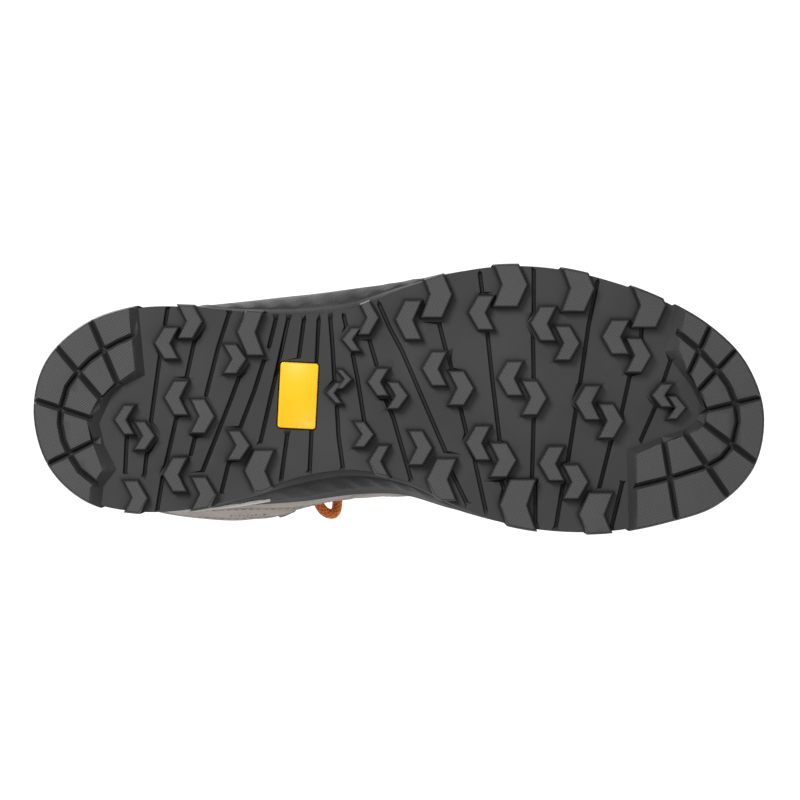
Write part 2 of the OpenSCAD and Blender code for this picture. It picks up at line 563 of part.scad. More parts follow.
// A speed hook: a plate on the leather and a curl that is open away from the throat
module lace_hook() {
    translate([0, 0, -hook_w / 2]) linear_extrude(hook_w) difference() {
        union() {
            translate([0, hole_height]) circle(hole_r + web_t, $fn = 24);
            translate([-3, station_base]) square([11.5, web_t]);
        }
        translate([0, hole_height]) circle(hole_r, $fn = 24);
        translate([0, hole_height - 1]) square([12, hole_r + 0.4]);
    }
    translate([5.6, station_base + web_t - 0.3, 0]) rotate([-90, 0, 0]) cylinder(r = 2.4, h = 1.2, $fn = 24);
}
module lace_loops(side) for (i = [0:STITCHED - 1]) at_station(side, STATIONS[i]) lace_loop();
hook_lift = 1.6;       // the hooks' flat plates stand off the curved leather on their rivets
module lace_hooks(side) for (i = [STITCHED:len(STATIONS) - 1])
    at_station(side, STATIONS[i]) translate([0, hook_lift, 0]) lace_hook();
module lace_loops_lateral() color("#1d1d1f") lace_loops(-1);
module lace_loops_medial() color("#1d1d1f") lace_loops(1);
module lace_hooks_lateral() color("#141415") lace_hooks(-1);
module lace_hooks_medial() color("#141415") lace_hooks(1);

// The lace's way through station i on one side: in below it, through it, and out above it
function through(side, i) =
    let(w = STATIONS[i], a = station_up(side, w),
        p = station(side, w, 0) + (hole_height + (i < STITCHED ? 0 : hook_lift)) * station_out(side, w),
        reach = (i < STITCHED ? loop_w / 2 + 1.4 : hook_w / 2 + 0.8))
    concat(
        [for (k = [-reach - 2.5, -reach, reach, reach + 2.5]) p + k * a],
        i < len(STATIONS) - 1 ? [] : [
            p + (reach + 4) * a + 6 * station_out(side, w),     // and back over the last hook to the knot
            p + reach * a + 10.5 * station_out(side, w)
        ]
    );
// The middle of a crossing above station i; over is 1 for the strand on top and -1 for the one below
lace_low = 5.4;
function crossing(i, over) =
    skin(
        (STATIONS[i] + STATIONS[i + 1]) / 2 + 0.36 + 0.085 * i,    // the columns lean more and more up the boot
        1, lace_low + (over > 0 ? lace_d + 0.8 : 0)
    );
function strand(side, i = 0) =
    i >= len(STATIONS) ? [] : concat(
        through(side, i),
        i == len(STATIONS) - 1 ? [] : [crossing(i, side * (i % 2 == 0 ? 1 : -1))],
        strand(-side, i + 1));
function reversed(list) = [for (i = [len(list) - 1:-1:0]) list[i]];
KNOT = lifted([-29.5, 9, 165]);
KNOT_R = 6;
last_side = len(STATIONS) % 2 == 0 ? 1 : -1;    // the side where the strand that starts on the outer side ends
module lace() color("#e8641b") {
    a = strand(-1);
    b = strand(1);
    enter = [0, KNOT_R + 1.6, -1.5];
    bar = skin(STATIONS[0] + 0.75, 1, lace_low);
    cord(concat(
        [KNOT + [0, -last_side * enter[1], enter[2]]], reversed(b), [bar], a, [KNOT + [0, last_side * enter[1], enter[2]]]
    ), lace_d, [0.6, 0, 0.8]);
}
module lace_knot() color("#d95a15")
    translate(KNOT) rotate([90, 0, 0]) cylinder(r = KNOT_R - 1, h = 2 * KNOT_R - 1.6, center = true, $fn = 32);

// ---- the pull loops ----

pull_t = 1.4;          // thickness of the webbing
pull_gap = 2.6;        // how far a pull loop's two layers stand apart
pull_clear = 0.4;
// A flat loop of webbing, with its hinge at the origin, that hangs down by h in the plane y = 0
module webbing_loop(h) {
    r = pull_gap / 2;
    rotate([90, 0, 0]) translate([0, 0, -pull_w / 2]) linear_extrude(pull_w) difference() {
        union() {
            circle(r + pull_t, $fn = 24);
            translate([0, -h + 2 * (r + pull_t)]) circle(r + pull_t, $fn = 24);
            translate([-r - pull_t, -h + 2 * (r + pull_t)]) square([2 * (r + pull_t), h - 2 * (r + pull_t)]);
        }
        circle(r, $fn = 24);
        translate([0, -h + 2 * (r + pull_t)]) circle(r, $fn = 24);
        translate([-r, -h + 2 * (r + pull_t)]) square([2 * r, h - 2 * (r + pull_t)]);
    }
}
loop_half = pull_gap / 2 + pull_t;
HEEL_HINGE = skin(0, 0.94, glue + pull_t + pull_clear) + [-loop_half - 1, 0, 0];
module heel_pull_base() color("#232326")
    panel([-0.5:0.25:0.5], function(u) 0.86, function(u) 0.97, over_inner, function(u, t) glue + pull_t, 3);
module heel_pull_loop() color("#e8641b") translate(HEEL_HINGE) webbing_loop(pull_h);

tongue_top = tongue_point([7, 1], 6, 0);
tongue_lean = atan2(-tongue_rise[0] * sx, tongue_rise[2] * sz);
tongue_loop_h = 15;
tongue_patch = 1.6;    // how far the patch stands off the curved top of the tongue
TONGUE_HINGE = tongue_top + [sin(90 - tongue_lean), 0, cos(90 - tongue_lean)] * (tongue_patch + pull_t + pull_clear + loop_half)
    + [sin(tongue_lean), 0, -cos(tongue_lean)] * 4;
module tongue_pull_base() color("#232326") translate(tongue_top) rotate([0, -tongue_lean, 0])
    translate([tongue_patch, -pull_w / 2, -10]) cube([pull_t, pull_w, 9]);
module tongue_pull_loop() color("#e8641b")
    translate(TONGUE_HINGE) rotate([0, -tongue_lean, 0]) webbing_loop(tongue_loop_h);

outsole();
sole_badge();
midsole();
midsole_accent();
shank();
lasting_board();
footbed();
rand();
heel_cap();
toe_puff();
heel_counter();
vamp();
quarter_lateral();
quarter_medial();
collar_foam();
vamp_lining();
lining_lateral();
lining_medial();
collar_binding();
eyestay_lateral();
eyestay_medial();
tongue();
tongue_foam();
tongue_lining();
lace_loops_lateral();
lace_loops_medial();
lace_hooks_lateral();
lace_hooks_medial();
lace();
lace_knot();
heel_pull_base();
heel_pull_loop();
tongue_pull_base();
tongue_pull_loop();
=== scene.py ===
"""The right hiking boot: sole, midsole, sewn upper, lacing and lining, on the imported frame."""
import math

import bmesh
import bpy
import numpy as np
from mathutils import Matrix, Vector, geometry


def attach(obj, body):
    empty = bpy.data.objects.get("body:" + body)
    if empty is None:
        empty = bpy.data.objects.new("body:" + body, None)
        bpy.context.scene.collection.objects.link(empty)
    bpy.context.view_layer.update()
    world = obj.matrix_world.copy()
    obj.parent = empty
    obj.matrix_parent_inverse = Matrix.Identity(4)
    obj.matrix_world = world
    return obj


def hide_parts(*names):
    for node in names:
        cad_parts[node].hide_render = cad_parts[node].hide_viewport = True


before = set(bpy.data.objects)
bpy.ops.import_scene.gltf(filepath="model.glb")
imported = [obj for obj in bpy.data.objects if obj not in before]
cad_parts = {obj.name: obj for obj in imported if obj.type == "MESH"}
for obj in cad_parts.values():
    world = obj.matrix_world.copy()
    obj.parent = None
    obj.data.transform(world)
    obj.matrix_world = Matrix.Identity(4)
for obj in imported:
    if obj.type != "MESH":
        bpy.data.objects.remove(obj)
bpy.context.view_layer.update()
MM = 0.001

# ---- camera, light and floor ----

CAMERA_DISTANCE = 2.4


def make_camera():
    """A long lens straight under the tread: toe to the right, outer side up."""
    data = bpy.data.cameras.new("camera")
    data.sensor_width = 36
    data.lens = 36 * CAMERA_DISTANCE / 0.3285
    data.clip_end = 20
    camera = bpy.data.objects.new("camera", data)
    bpy.context.scene.collection.objects.link(camera)
    camera.location = (0, 0.0008, -CAMERA_DISTANCE)
    camera.rotation_euler = (math.pi, 0, 0)
    bpy.context.scene.camera = camera


def make_light(name, place, size, power, colour=(1, 1, 1)):
    """A soft box at place that faces the boot."""
    data = bpy.data.lights.new(name, "AREA")
    data.shape = "DISK"
    data.size = size
    data.energy = power
    data.color = colour
    light = bpy.data.objects.new(name, data)
    light.location = place
    aim = Vector((0, 0, 0.05)) - Vector(place)
    light.rotation_euler = aim.to_track_quat("-Z", "Y").to_euler()
    bpy.context.scene.collection.objects.link(light)


def make_world():
    """Even white surroundings, a little brighter to the eye than they light."""
    world = bpy.data.worlds.new("studio")
    bpy.context.scene.world = world
    world.use_nodes = True
    tree = world.node_tree
    back = tree.nodes["Background"]
    back.inputs["Color"].default_value = (1, 1, 1, 1)
    path = tree.nodes.new("ShaderNodeLightPath")
    strength = tree.nodes.new("ShaderNodeMapRange")
    strength.inputs["To Min"].default_value = 0.42
    strength.inputs["To Max"].default_value = 1.2
    tree.links.new(path.outputs["Is Camera Ray"], strength.inputs["Value"])
    tree.links.new(strength.outputs["Result"], back.inputs["Strength"])
    bpy.context.scene.view_settings.view_transform = "Standard"


def make_floor():
    """A pale floor that is clear from below, so that the tread shows."""
    mesh = bpy.data.meshes.new("floor")
    s = 3.0
    mesh.from_pydata([(-s, -s, -0.0002), (s, -s, -0.0002), (s, s, -0.0002), (-s, s, -0.0002)], [], [(0, 1, 2, 3)])
    floor = bpy.data.objects.new("floor", mesh)
    bpy.context.scene.collection.objects.link(floor)
    for ray in ("diffuse", "glossy", "transmission", "volume_scatter", "shadow"):
        setattr(floor, "visible_" + ray, False)
    material = bpy.data.materials.new("floor paper")
    material.use_nodes = True
    tree = material.node_tree
    paper = tree.nodes["Principled BSDF"]
    paper.inputs["Base Color"].default_value = (0.83, 0.83, 0.82, 1)
    paper.inputs["Roughness"].default_value = 0.9
    clear = tree.nodes.new("ShaderNodeBsdfTransparent")
    side = tree.nodes.new("ShaderNodeNewGeometry")
    choose = tree.nodes.new("ShaderNodeMixShader")
    tree.links.new(side.outputs["Backfacing"], choose.inputs["Fac"])
    tree.links.new(paper.outputs["BSDF"], choose.inputs[1])
    tree.links.new(clear.outputs["BSDF"], choose.inputs[2])
    tree.links.new(choose.outputs["Shader"], tree.nodes["Material Output"].inputs["Surface"])
    mesh.materials.append(material)


make_camera()
make_world()
make_floor()
make_light("key below", (-0.75, -0.85, -1.3), 0.7, 26)
make_light("fill below", (0.9, 0.7, -1.5), 1.2, 9)
make_light("key above", (-0.8, -1.1, 1.5), 0.8, 26)
make_light("fill above", (1.1, 1.0, 1.0), 1.2, 10)
make_light("rim above", (-0.9, 1.1, 1.2), 0.9, 10)

# ---- the boot's own surface, in millimetres ----

TREAD = np.array([
    (-150, 6), (-145, -14.8), (-129, -30), (-108, -37), (-85.5, -37.5), (-63.5, -35.5), (-41.5, -34.6), (-19.5, -37),
    (1, -45), (22, -51.4), (43.5, -54.3), (65.5, -53), (87, -48), (107.5, -40.5), (127, -29.5), (142, -14.5),
    (149.5, 6), (145.6, 28), (130.3, 43.5), (109.3, 50.6), (87.4, 54.7), (65, 54.9), (43, 51.5), (22, 43.7),
    (2, 34), (-19.7, 29.5), (-41.7, 32.5), (-62.8, 40), (-84.3, 45.4), (-106.7, 46.8), (-128.3, 42.1), (-144, 27.5)])
FOOT = np.array([
    (-143, 5.5), (-138.5, -12), (-124.5, -25), (-105.5, -31.5), (-84.5, -34), (-63.5, -36), (-42, -38.5), (-20, -41.5),
    (1, -44.5), (21.5, -47.5), (42.5, -49.5), (63.5, -48.5), (84, -44), (103, -37), (120.5, -27), (134.5, -12.5),
    (142, 6), (138.5, 25), (125, 38.5), (106, 45.5), (85.5, 49), (64, 49.5), (43, 47), (22.5, 42),
    (2, 34.6), (-19, 34.1), (-40.5, 38), (-62, 40), (-83.5, 41.5), (-104.5, 41), (-124, 36), (-138, 23.5)])
COLLAR = np.array([
    (-137, 0, 152), (-133, 17, 151), (-121, 30, 147.5), (-104, 38, 143), (-85, 41.5, 141), (-66, 42, 144),
    (-46, 36, 151), (-30, 0, 160.0)])
RIDGE = np.array([
    (-30, 9, 160), (-13, 8.5, 137.5), (6, 8, 119), (27, 7.5, 105), (49, 7, 94.5), (70, 7, 87),
    (88, 7, 81.5), (101, 7.5, 77), (108, 8, 74), (111, 8, 72.5)])
BULGE_OUTER = np.array([8, 8, 7, 6, 6, 7, 8, 9, 7, 5, 3, 3, 3, 3, 3, 3, 3.])
BULGE_INNER = np.array([8, 8, 7, 7, 8, 10, 14, 24, 20, 10, 5, 3, 3, 3, 3, 3, 3.])
UPRIGHT = np.array([.38, .38, .38, .38, .38, .38, .38, .4, .42, .45, .5, .52, .54, .55, .56, .56, .56])
LEAN = np.array([-4, -3, 0, 2, 2, 2, 2, 0, 0, 0, 0, 0, 0, 0, 0, 0, 0.])
FLAT = np.array([.4, .4, .4, .4, .4, .4, .5, .57, .6, .62, .62, .62, .62, .62, .62, .6, .6])
TO_RIDGE = np.array([0, 0, 0, 0, 0, 0, .25, 1, 1, 1, 1, 1, 1, 1, 1, 1, 1])
THROAT = np.array([
    (6.3, 1), (6.5, .95), (6.75, .88), (7, .83), (7.4, .795), (8, .775), (9, .775), (10, .785), (10.7, .8), (11.3, .83)])
EYESTAY_EDGE = np.array([
    (5.5, 1), (5.7, .9), (6, .8), (6.4, .71), (6.8, .65), (7.3, .61), (8, .59), (9, .59), (10, .6), (10.8, .62), (11.3, .66)])
COLLAR_MID = 9.0
LUG_H, PLATE_H, HEEL_STACK, BALL_STACK, TOE_SPRING, COLLAR_H = 4.5, 3.5, 22.0, 11.0, 12.0, 152.0
UPPER_T, RAND_T, LINING_T, STIFFENER_T, FOAM_T = 2.0, 2.0, 1.2, 1.6, 7.0
GLUE = 0.3
SEAM = 0.012
THROAT_END = 11.0
BINDING_T = 0.985


def smooth(t):
    c = np.clip(t, 0, 1)
    return c * c * (3 - 2 * c)


def mix(a, b, t):
    return a + (b - a) * t


def unit(v):
    return v / np.maximum(np.linalg.norm(v, axis=-1, keepdims=True), 1e-12)


def spline4(a, b, c, d, t):
    return 0.5 * (2 * b + (c - a) * t + (2 * a - 5 * b + 4 * c - d) * t**2 + (3 * b - a - 3 * c + d) * t**3)


def _part(u, i, points):
    t = u - i
    return t[..., None] if points.ndim == 2 else t


def around(points, u):
    """A smooth closed line through points, at u."""
    u = np.asarray(u, float)
    i = np.floor(u).astype(int)
    return spline4(*(points[(i + k) % len(points)] for k in (-1, 0, 1, 2)), _part(u, i, points))


def along(points, u):
    """A smooth open line through points, at u."""
    u = np.asarray(u, float)
    n = len(points) - 1
    i = np.clip(np.floor(u).astype(int), 0, n - 1)
    return spline4(*(points[np.clip(i + k, 0, n)] for k in (-1, 0, 1, 2)), _part(u, i, points))


def grown(points, u, d):
    """The closed line moved outwards by d."""
    u = np.asarray(u, float)
    t = around(points, u + 0.05) - around(points, u - 0.05)
    out = unit(np.stack([t[..., 1], -t[..., 0]], -1))
    return around(points, u) + np.asarray(d, float)[..., None] * out


def ground(x):
    """How far the lugs' faces stand above the ground: heel bevel, arch and toe spring."""
    return (3 * np.maximum(0, (-125 - x) / 25)**2
            + 2.5 * np.sin(np.pi * np.clip((x + 85) / 80, 0, 1))**2
            + TOE_SPRING * np.maximum(0, (x - 60) / 90)**1.8)


def plate_under(x):
    return ground(x) + LUG_H


def plate_top(x):
    return plate_under(x) + PLATE_H


def feather(x):
    """Where the upper meets the midsole."""
    return plate_top(x) + mix(HEEL_STACK, BALL_STACK, smooth((x + 95) / 120))


HEEL_FEATHER = float(feather(np.array(-143.0)))
LIFT = (COLLAR_H - HEEL_FEATHER) / (152 - 30)


def lifted(p):
    return np.stack([p[..., 0], p[..., 1], HEEL_FEATHER + (p[..., 2] - 30) * LIFT], -1)


def folded(u):
    """The column's number counted from the heel on either side, 0 to 16."""
    w = u - 32 * np.floor(u / 32)
    return np.where(w <= 16, w, 32 - w)


def inner_side(u):
    return u - 32 * np.floor(u / 32) > 16


def ridge(w):
    return lifted(along(RIDGE, w - 7))


def ridge_slope(w):
    c = np.clip(w, 7.1, 15.9)
    a, b = ridge(c - 0.1), ridge(c + 0.1)
    return (b[..., 2] - a[..., 2]) / (b[..., 0] - a[..., 0])


def collar_point(i, side):
    k = np.where(i < 0, -i, np.where(i > 7, 14 - i, i))
    s = np.where((i < 0) | (i > 7), -side, side)
    p = COLLAR[k]
    return np.stack([p[..., 0], COLLAR_MID + s * p[..., 1], p[..., 2]], -1)


def collar(w, side):
    i = np.minimum(6, np.floor(w)).astype(int)
    return lifted(spline4(*(collar_point(i + k, side) for k in (-1, 0, 1, 2)), (w - i)[..., None]))


def column_end(u):
    w = folded(u)
    side = np.where(inner_side(u), 1, -1)
    return np.where((w > 7)[..., None], ridge(w), collar(np.minimum(w, 7), side))


def column(u):
    """The four guide points of the upper's column u, from the feather line up."""
    u = np.asarray(u, float)
    w = folded(u)
    foot = around(FOOT, u)
    t = around(FOOT, u + 0.05) - around(FOOT, u - 0.05)
    out = unit(np.stack([t[..., 1], -t[..., 0]], -1))
    base = np.concatenate([foot, (feather(foot[..., 0]) + GLUE)[..., None]], -1)
    end = column_end(u)
    rise = end[..., 2] - base[..., 2]
    bulge = np.where(inner_side(u), along(BULGE_INNER, w), along(BULGE_OUTER, w))
    low = base + np.concatenate([out * bulge[..., None], (along(UPRIGHT, w) * rise)[..., None]], -1)
    lean = along(LEAN, w)
    at_collar = end + np.concatenate([out * lean[..., None], (-0.36 * rise)[..., None]], -1)
    reach = along(FLAT, w)[..., None] * (foot - end[..., :2])
    at_ridge = end + np.concatenate([reach, (ridge_slope(w) * reach[..., 0])[..., None]], -1)
    k = np.clip(along(TO_RIDGE, w), 0, 1)[..., None]
    return np.stack([base, low, mix(at_collar, at_ridge, k), end])


def on_column(c, t):
    t = np.asarray(t, float)[..., None]
    s = 1 - t
    return s**3 * c[0] + 3 * s * s * t * c[1] + 3 * s * t * t * c[2] + t**3 * c[3]


def face(u, t):
    return on_column(column(u), t)


def face_normal(u, t):
    u, t = np.broadcast_arrays(np.asarray(u, float), np.asarray(t, float))
    w = folded(u)
    tt = np.minimum(t, 0.99)
    across = face(u + 0.02, tt) - face(u - 0.02, tt)
    c = column(u)
    up = on_column(c, np.minimum(1, tt + 0.01)) - on_column(c, np.maximum(0, tt - 0.01))
    n = unit(np.cross(across, up))
    s = ridge_slope(w)
    top = unit(np.stack([-s, np.zeros_like(s), np.ones_like(s)], -1))
    return np.where(((t > 0.999) & (w >= 7))[..., None], top, n)


def skin(u, t, d):
    """The upper's outer face at column u and height t, moved out by d."""
    u, t, d = np.broadcast_arrays(np.asarray(u, float), np.asarray(t, float), np.asarray(d, float))
    return face(u, t) + d[..., None] * face_normal(u, t)


def on_list(points, w):
    return np.interp(w, points[:, 0], points[:, 1])


def panel_top(u):
    return np.minimum(BINDING_T, on_list(THROAT, folded(u)))


def sole_wall(u, h, d=0.0):
    """The midsole's side: h from the rubber (0) to the upper (1), d outwards."""
    u, h, d = np.broadcast_arrays(np.asarray(u, float), np.asarray(h, float), np.asarray(d, float))
    a, b = grown(TREAD, u, d - 0.5), grown(FOOT, u, RAND_T + GLUE + 1.2 + d)
    z = mix(plate_top(a[..., 0]) + GLUE, feather(b[..., 0]) - GLUE, h)
    return np.concatenate([mix(a, b, h[..., None]), z[..., None]], -1)


def foam_share(u, t):
    return smooth((t - 0.56) / 0.16) * (1 - smooth((folded(u) - 5.2) / 0.9))


def room_inner(u, t):
    """The inside of the stiffeners and of the collar's foam."""
    return -UPPER_T - GLUE - mix(STIFFENER_T, FOAM_T, foam_share(u, t))

# ---- making pieces ----


def new_object(name, points, faces, material, uv=None, masks=None, crease=None):
    """A mesh object at the origin, from points in millimetres, with its UV map in metres and its named masks."""
    mesh = bpy.data.meshes.new(name)
    mesh.from_pydata((np.asarray(points, float) * MM).tolist(), [], [tuple(int(i) for i in f) for f in faces])
    if uv is not None:
        layer = mesh.uv_layers.new(name="UVMap")
        corner = np.empty(len(mesh.loops), dtype=np.int32)
        mesh.loops.foreach_get("vertex_index", corner)
        layer.data.foreach_set("uv", (np.asarray(uv, float) * MM)[corner].ravel())
    for key, values in (masks or {}).items():
        mesh.attributes.new(key, "FLOAT", "POINT").data.foreach_set("value", np.asarray(values, np.float32))
    mesh.materials.append(material)
    mesh.shade_smooth()
    thing = bpy.data.objects.new(name, mesh)
    bpy.context.scene.collection.objects.link(thing)
    if crease:
        mesh.set_sharp_from_angle(angle=math.radians(crease))
    return thing


def merged(thing, distance=0.00002):
    """Closes the seams of a mesh where its points meet."""
    shape = bmesh.new()
    shape.from_mesh(thing.data)
    bmesh.ops.remove_doubles(shape, verts=shape.verts, dist=distance)
    shape.to_mesh(thing.data)
    shape.free()
    return thing


def finished(thing, nodes=(), body="boot"):
    """Puts a piece on its body, in place of its CAD nodes."""
    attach(thing, body)
    if nodes:
        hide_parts(*nodes)
    return thing


def rolled(e, r):
    """How full a wall is at e from its border, when its edge is rolled over r."""
    c = np.clip(1 - e / r, 0, 1)
    return np.sqrt(np.maximum(0, 1 - c * c))


def spread(start, end, step, close=None, scale=1.0, first=True, last=True):
    """Positions from start to end at about step, with a few close ones at the borders."""
    n = max(2, int(round((end - start) * scale / step)))
    inner = np.linspace(start, end, n + 1)
    if close is None:
        return inner
    lip = np.array([0, .06, .3, .7, 1.0]) * close / scale
    middle = inner[(inner > start + close / scale * 1.4) & (inner < end - close / scale * 1.4)]
    head = start + lip if first else np.array([start, start + close / scale])
    tail = end - lip[::-1] if last else np.array([end - close / scale, end])
    return np.concatenate([head, middle, tail])


def shell(name, ends, low, high, outer, inner, material, step=1.6, roll=1.1, closed=False, surface=skin,
          open_low=False, width=22.0):
    """A wall between two offsets of a surface, with rolled borders. ends are its first and last column."""
    if closed:
        us = np.linspace(ends[0], ends[1], int((ends[1] - ends[0]) * width / step) + 1)[:-1]
    else:
        us = spread(ends[0], ends[1], step, roll, width)
    middle = surface(us, (low(us) + high(us)) / 2, 0.0)
    lengths = np.linalg.norm(surface(us, high(us), 0.0) - surface(us, low(us), 0.0), axis=-1)
    tall = float(np.mean(lengths)) * 1.08
    js = spread(0.0, 1.0, step, roll, tall, first=not open_low)
    u = np.repeat(us[:, None], len(js), 1)
    t = low(u) + (high(u) - low(u)) * js[None, :]
    gaps = np.linalg.norm(np.diff(middle, axis=0), axis=-1)
    s = np.concatenate([[0], np.cumsum(gaps)])
    if closed:
        across = np.ones(len(us))
    else:
        across = rolled(np.minimum(s, s[-1] - s), roll)
    e = np.minimum(js if not open_low else np.full(len(js), 1.0), 1 - js) * tall
    full = across[:, None] * rolled(e, roll)[None, :]
    a, b = outer(u, t), inner(u, t)
    half = (a - b) / 2 * full
    centre = (a + b) / 2
    grid = [surface(u, t, centre + half), surface(u, t, centre - half)]
    n, m = u.shape
    index = np.arange(n * m).reshape(n, m)
    if closed:
        index = np.concatenate([index, index[:1]])
    q = np.stack([index[:-1, :-1], index[1:, :-1], index[1:, 1:], index[:-1, 1:]], -1).reshape(-1, 4)
    faces = np.concatenate([q, q[:, ::-1] + n * m])
    points = np.concatenate([g.reshape(-1, 3) for g in grid])
    v = np.linalg.norm(np.diff(grid[0], axis=1), axis=-1)
    v = np.concatenate([np.zeros((n, 1)), np.cumsum(v, 1)], 1)
    uv = np.stack([np.repeat(s[:, None], m, 1), v], -1).reshape(-1, 2)
    edge = np.repeat(1 - np.minimum(across[:, None], rolled(e, roll * 1.6)[None, :]), 1, 0)
    masks = {"rim": np.tile(edge.reshape(-1), 2)}
    if open_low:
        bottom = np.stack([index[:-1, 0], index[:-1, 0] + n * m, index[1:, 0] + n * m, index[1:, 0]], -1)
        faces = np.concatenate([faces, bottom])
    return merged(new_object(name, points, faces, material, np.tile(uv, (2, 1)), masks), 0.00001)


def tube(line, radius, sides=12, flat=1.0, up=(0, 0, 1), ends=True, closed=False):
    """The points, faces and UV map of a cord along a line, with the map along it and round it."""
    line = np.asarray(line, float)
    n = len(line)
    if closed:
        t = unit(np.roll(line, -1, 0) - np.roll(line, 1, 0))
    else:
        t = unit(np.gradient(line, axis=0))
    a = unit(np.cross(t[0], up))
    sides_a = []
    for k in range(n):
        a = unit(a - t[k] * (a @ t[k]))
        sides_a.append(a)
    a = np.array(sides_a)
    b = np.cross(t, a)
    angle = np.linspace(0, 2 * np.pi, sides, endpoint=False)
    r = np.broadcast_to(np.asarray(radius, float), (n,))
    ring = np.cos(angle)[None, :, None] * a[:, None] + flat * np.sin(angle)[None, :, None] * b[:, None]
    points = (line[:, None] + r[:, None, None] * ring).reshape(-1, 3)
    s = np.concatenate([[0], np.cumsum(np.linalg.norm(np.diff(line, axis=0), axis=-1))])
    uv = np.stack([np.repeat(s[:, None], sides, 1), np.repeat((angle * np.mean(r))[None], n, 0)], -1).reshape(-1, 2)
    faces = []
    for k in range(n if closed else n - 1):
        for j in range(sides):
            i = (j + 1) % sides
            k2 = (k + 1) % n
            faces.append((k * sides + j, k * sides + i, k2 * sides + i, k2 * sides + j))
    if ends and not closed:
        points = np.concatenate([points, [line[0] - t[0] * r[0] * 0.5], [line[-1] + t[-1] * r[-1] * 0.5]])
        uv = np.concatenate([uv, [[0, 0]], [[s[-1], 0]]])
        for j in range(sides):
            i = (j + 1) % sides
            faces.append((n * sides, i, j))
            faces.append((n * sides + 1, (n - 1) * sides + j, (n - 1) * sides + i))
    return points, faces, uv


def corner_cut(line, times=3, closed=False):
    """A line with its corners cut again and again, so that it runs smoothly."""
    p = np.asarray(line, float)
    for _ in range(times):
        a, b = (p, np.roll(p, -1, 0)) if closed else (p[:-1], p[1:])
        q = np.stack([0.75 * a + 0.25 * b, 0.25 * a + 0.75 * b], 1).reshape(-1, 3)
        p = q if closed else np.concatenate([p[:1], q[1:-1], p[-1:]])
    return p


def resampled(line, step):
    """A line's points at even steps."""
    s = np.concatenate([[0], np.cumsum(np.linalg.norm(np.diff(line, axis=0), axis=-1))])
    at = np.linspace(0, s[-1], max(3, int(s[-1] / step) + 1))
    return np.stack([np.interp(at, s, line[:, k]) for k in range(3)], -1)


# ---- the tread ----

EDGE_LUG = 1.0
LUG_POINT = 4.4
# x and y of the tip, the way it points (1 is towards the toe), height and width of its arms
LUGS = [
    (-80.5, -31.5, 1, 15, 7.2), (-101.5, -22.5, -1, 14, 7), (-97.5, 0, -1, 15, 7), (-75.5, 7.5, 1, 15, 7),
    (-118, 9, -1, 13, 5.5), (-100, 15.5, 1, 12.6, 5.7), (-98, 31.5, -1, 15, 7), (-75, 39.5, 1, 15, 7.2),
    (-103, 41, 1, 15, 7), (-67.5, -27, -1, 20, 8), (-62.5, -16, 1, 13, 6.5), (-61, 19.5, 1, 13, 6.3),
    (-64.5, 30, -1, 18, 9), (-8, -33, 1, 15, 5.6), (-24.5, -24, -1, 10.6, 5), (-19, -7.7, 1, 9, 4),
    (-31, -2, -1, 9.6, 4), (-14, -6.5, -1, 12.3, 6), (4, -1, 1, 12, 5.8), (-10, 15, 1, 11.3, 5.6),
    (-13.5, 26, -1, 14, 5.6), (22, -42.5, 1, 20, 9.6), (-2.5, -32, -1, 17, 7.8), (53, -46.5, 1, 19, 11),
    (27.5, -35, -1, 15, 7.6), (8.5, -12, -1, 15, 7.2), (31, -4, 1, 15, 7.5), (39.5, -8, -1, 15, 7.5),
    (61, 0, 1, 15, 7.3), (26.5, 18.5, -1, 15, 7.1), (48.5, 25.5, 1, 15, 8), (14, 20.5, 1, 15, 7),
    (10.5, 33.5, -1, 18, 9), (40.5, 44, -1, 22, 11.6), (53, -30.5, -1, 15, 7.6), (74.5, -22.5, 1, 15, 7.2),
    (80.5, -45, 1, 20, 10.4), (56.5, 27, -1, 15, 7.5), (78, 34.5, 1, 15, 7.4), (82.5, -25, -1, 15, 8.2),
    (110, -38, 1, 19, 11), (104, -17.5, 1, 15, 7.4), (71.5, 2, -1, 15, 7.3), (92.5, 9.5, 1, 15, 7.3),
    (103, -1, -1, 10.5, 5.9), (118.5, 4, 1, 10.5, 5), (73, 48, -1, 19, 10.9)]
# The top edges of the blocks at the heel and toe, and the feet of their sloped inner walls
HEEL_TOP = [(-111.9, -60), (-111.5, -36.6), (-109, -11.5), (-116.2, -6.4), (-123.3, 0.1), (-128.8, 9), (-126.4, 18.2),
            (-122.3, 29.5), (-127.4, 37), (-129.1, 60), (-175, 60), (-175, -60)]
HEEL_SLOPE = [(-108.1, -60), (-107.6, -36.9), (-104.9, -9.4), (-113.4, -5.3), (-118.2, -1.9), (-123.7, 10.4),
              (-121.6, 19.3), (-116.5, 29.2), (-122, 36.4), (-124.4, 60), (-175, 60), (-175, -60)]
TOE_TOP = [(117.5, -60), (117.5, -35.4), (115.1, -20.4), (118.9, -10.1), (123.3, -2.9), (126.8, 4.9), (125.4, 10.7),
           (120.3, 14.5), (108.6, 18.2), (97.4, 23), (97.7, 60), (175, 60), (175, -60)]
TOE_SLOPE = [(113.4, -60), (113.4, -37.1), (109.3, -19.1), (112.1, -15.2), (120.3, -4.6), (123.7, 2.2), (122.6, 9),
             (118, 12.5), (99.8, 18.9), (93.3, 21), (94.3, 60), (175, 60), (175, -60)]
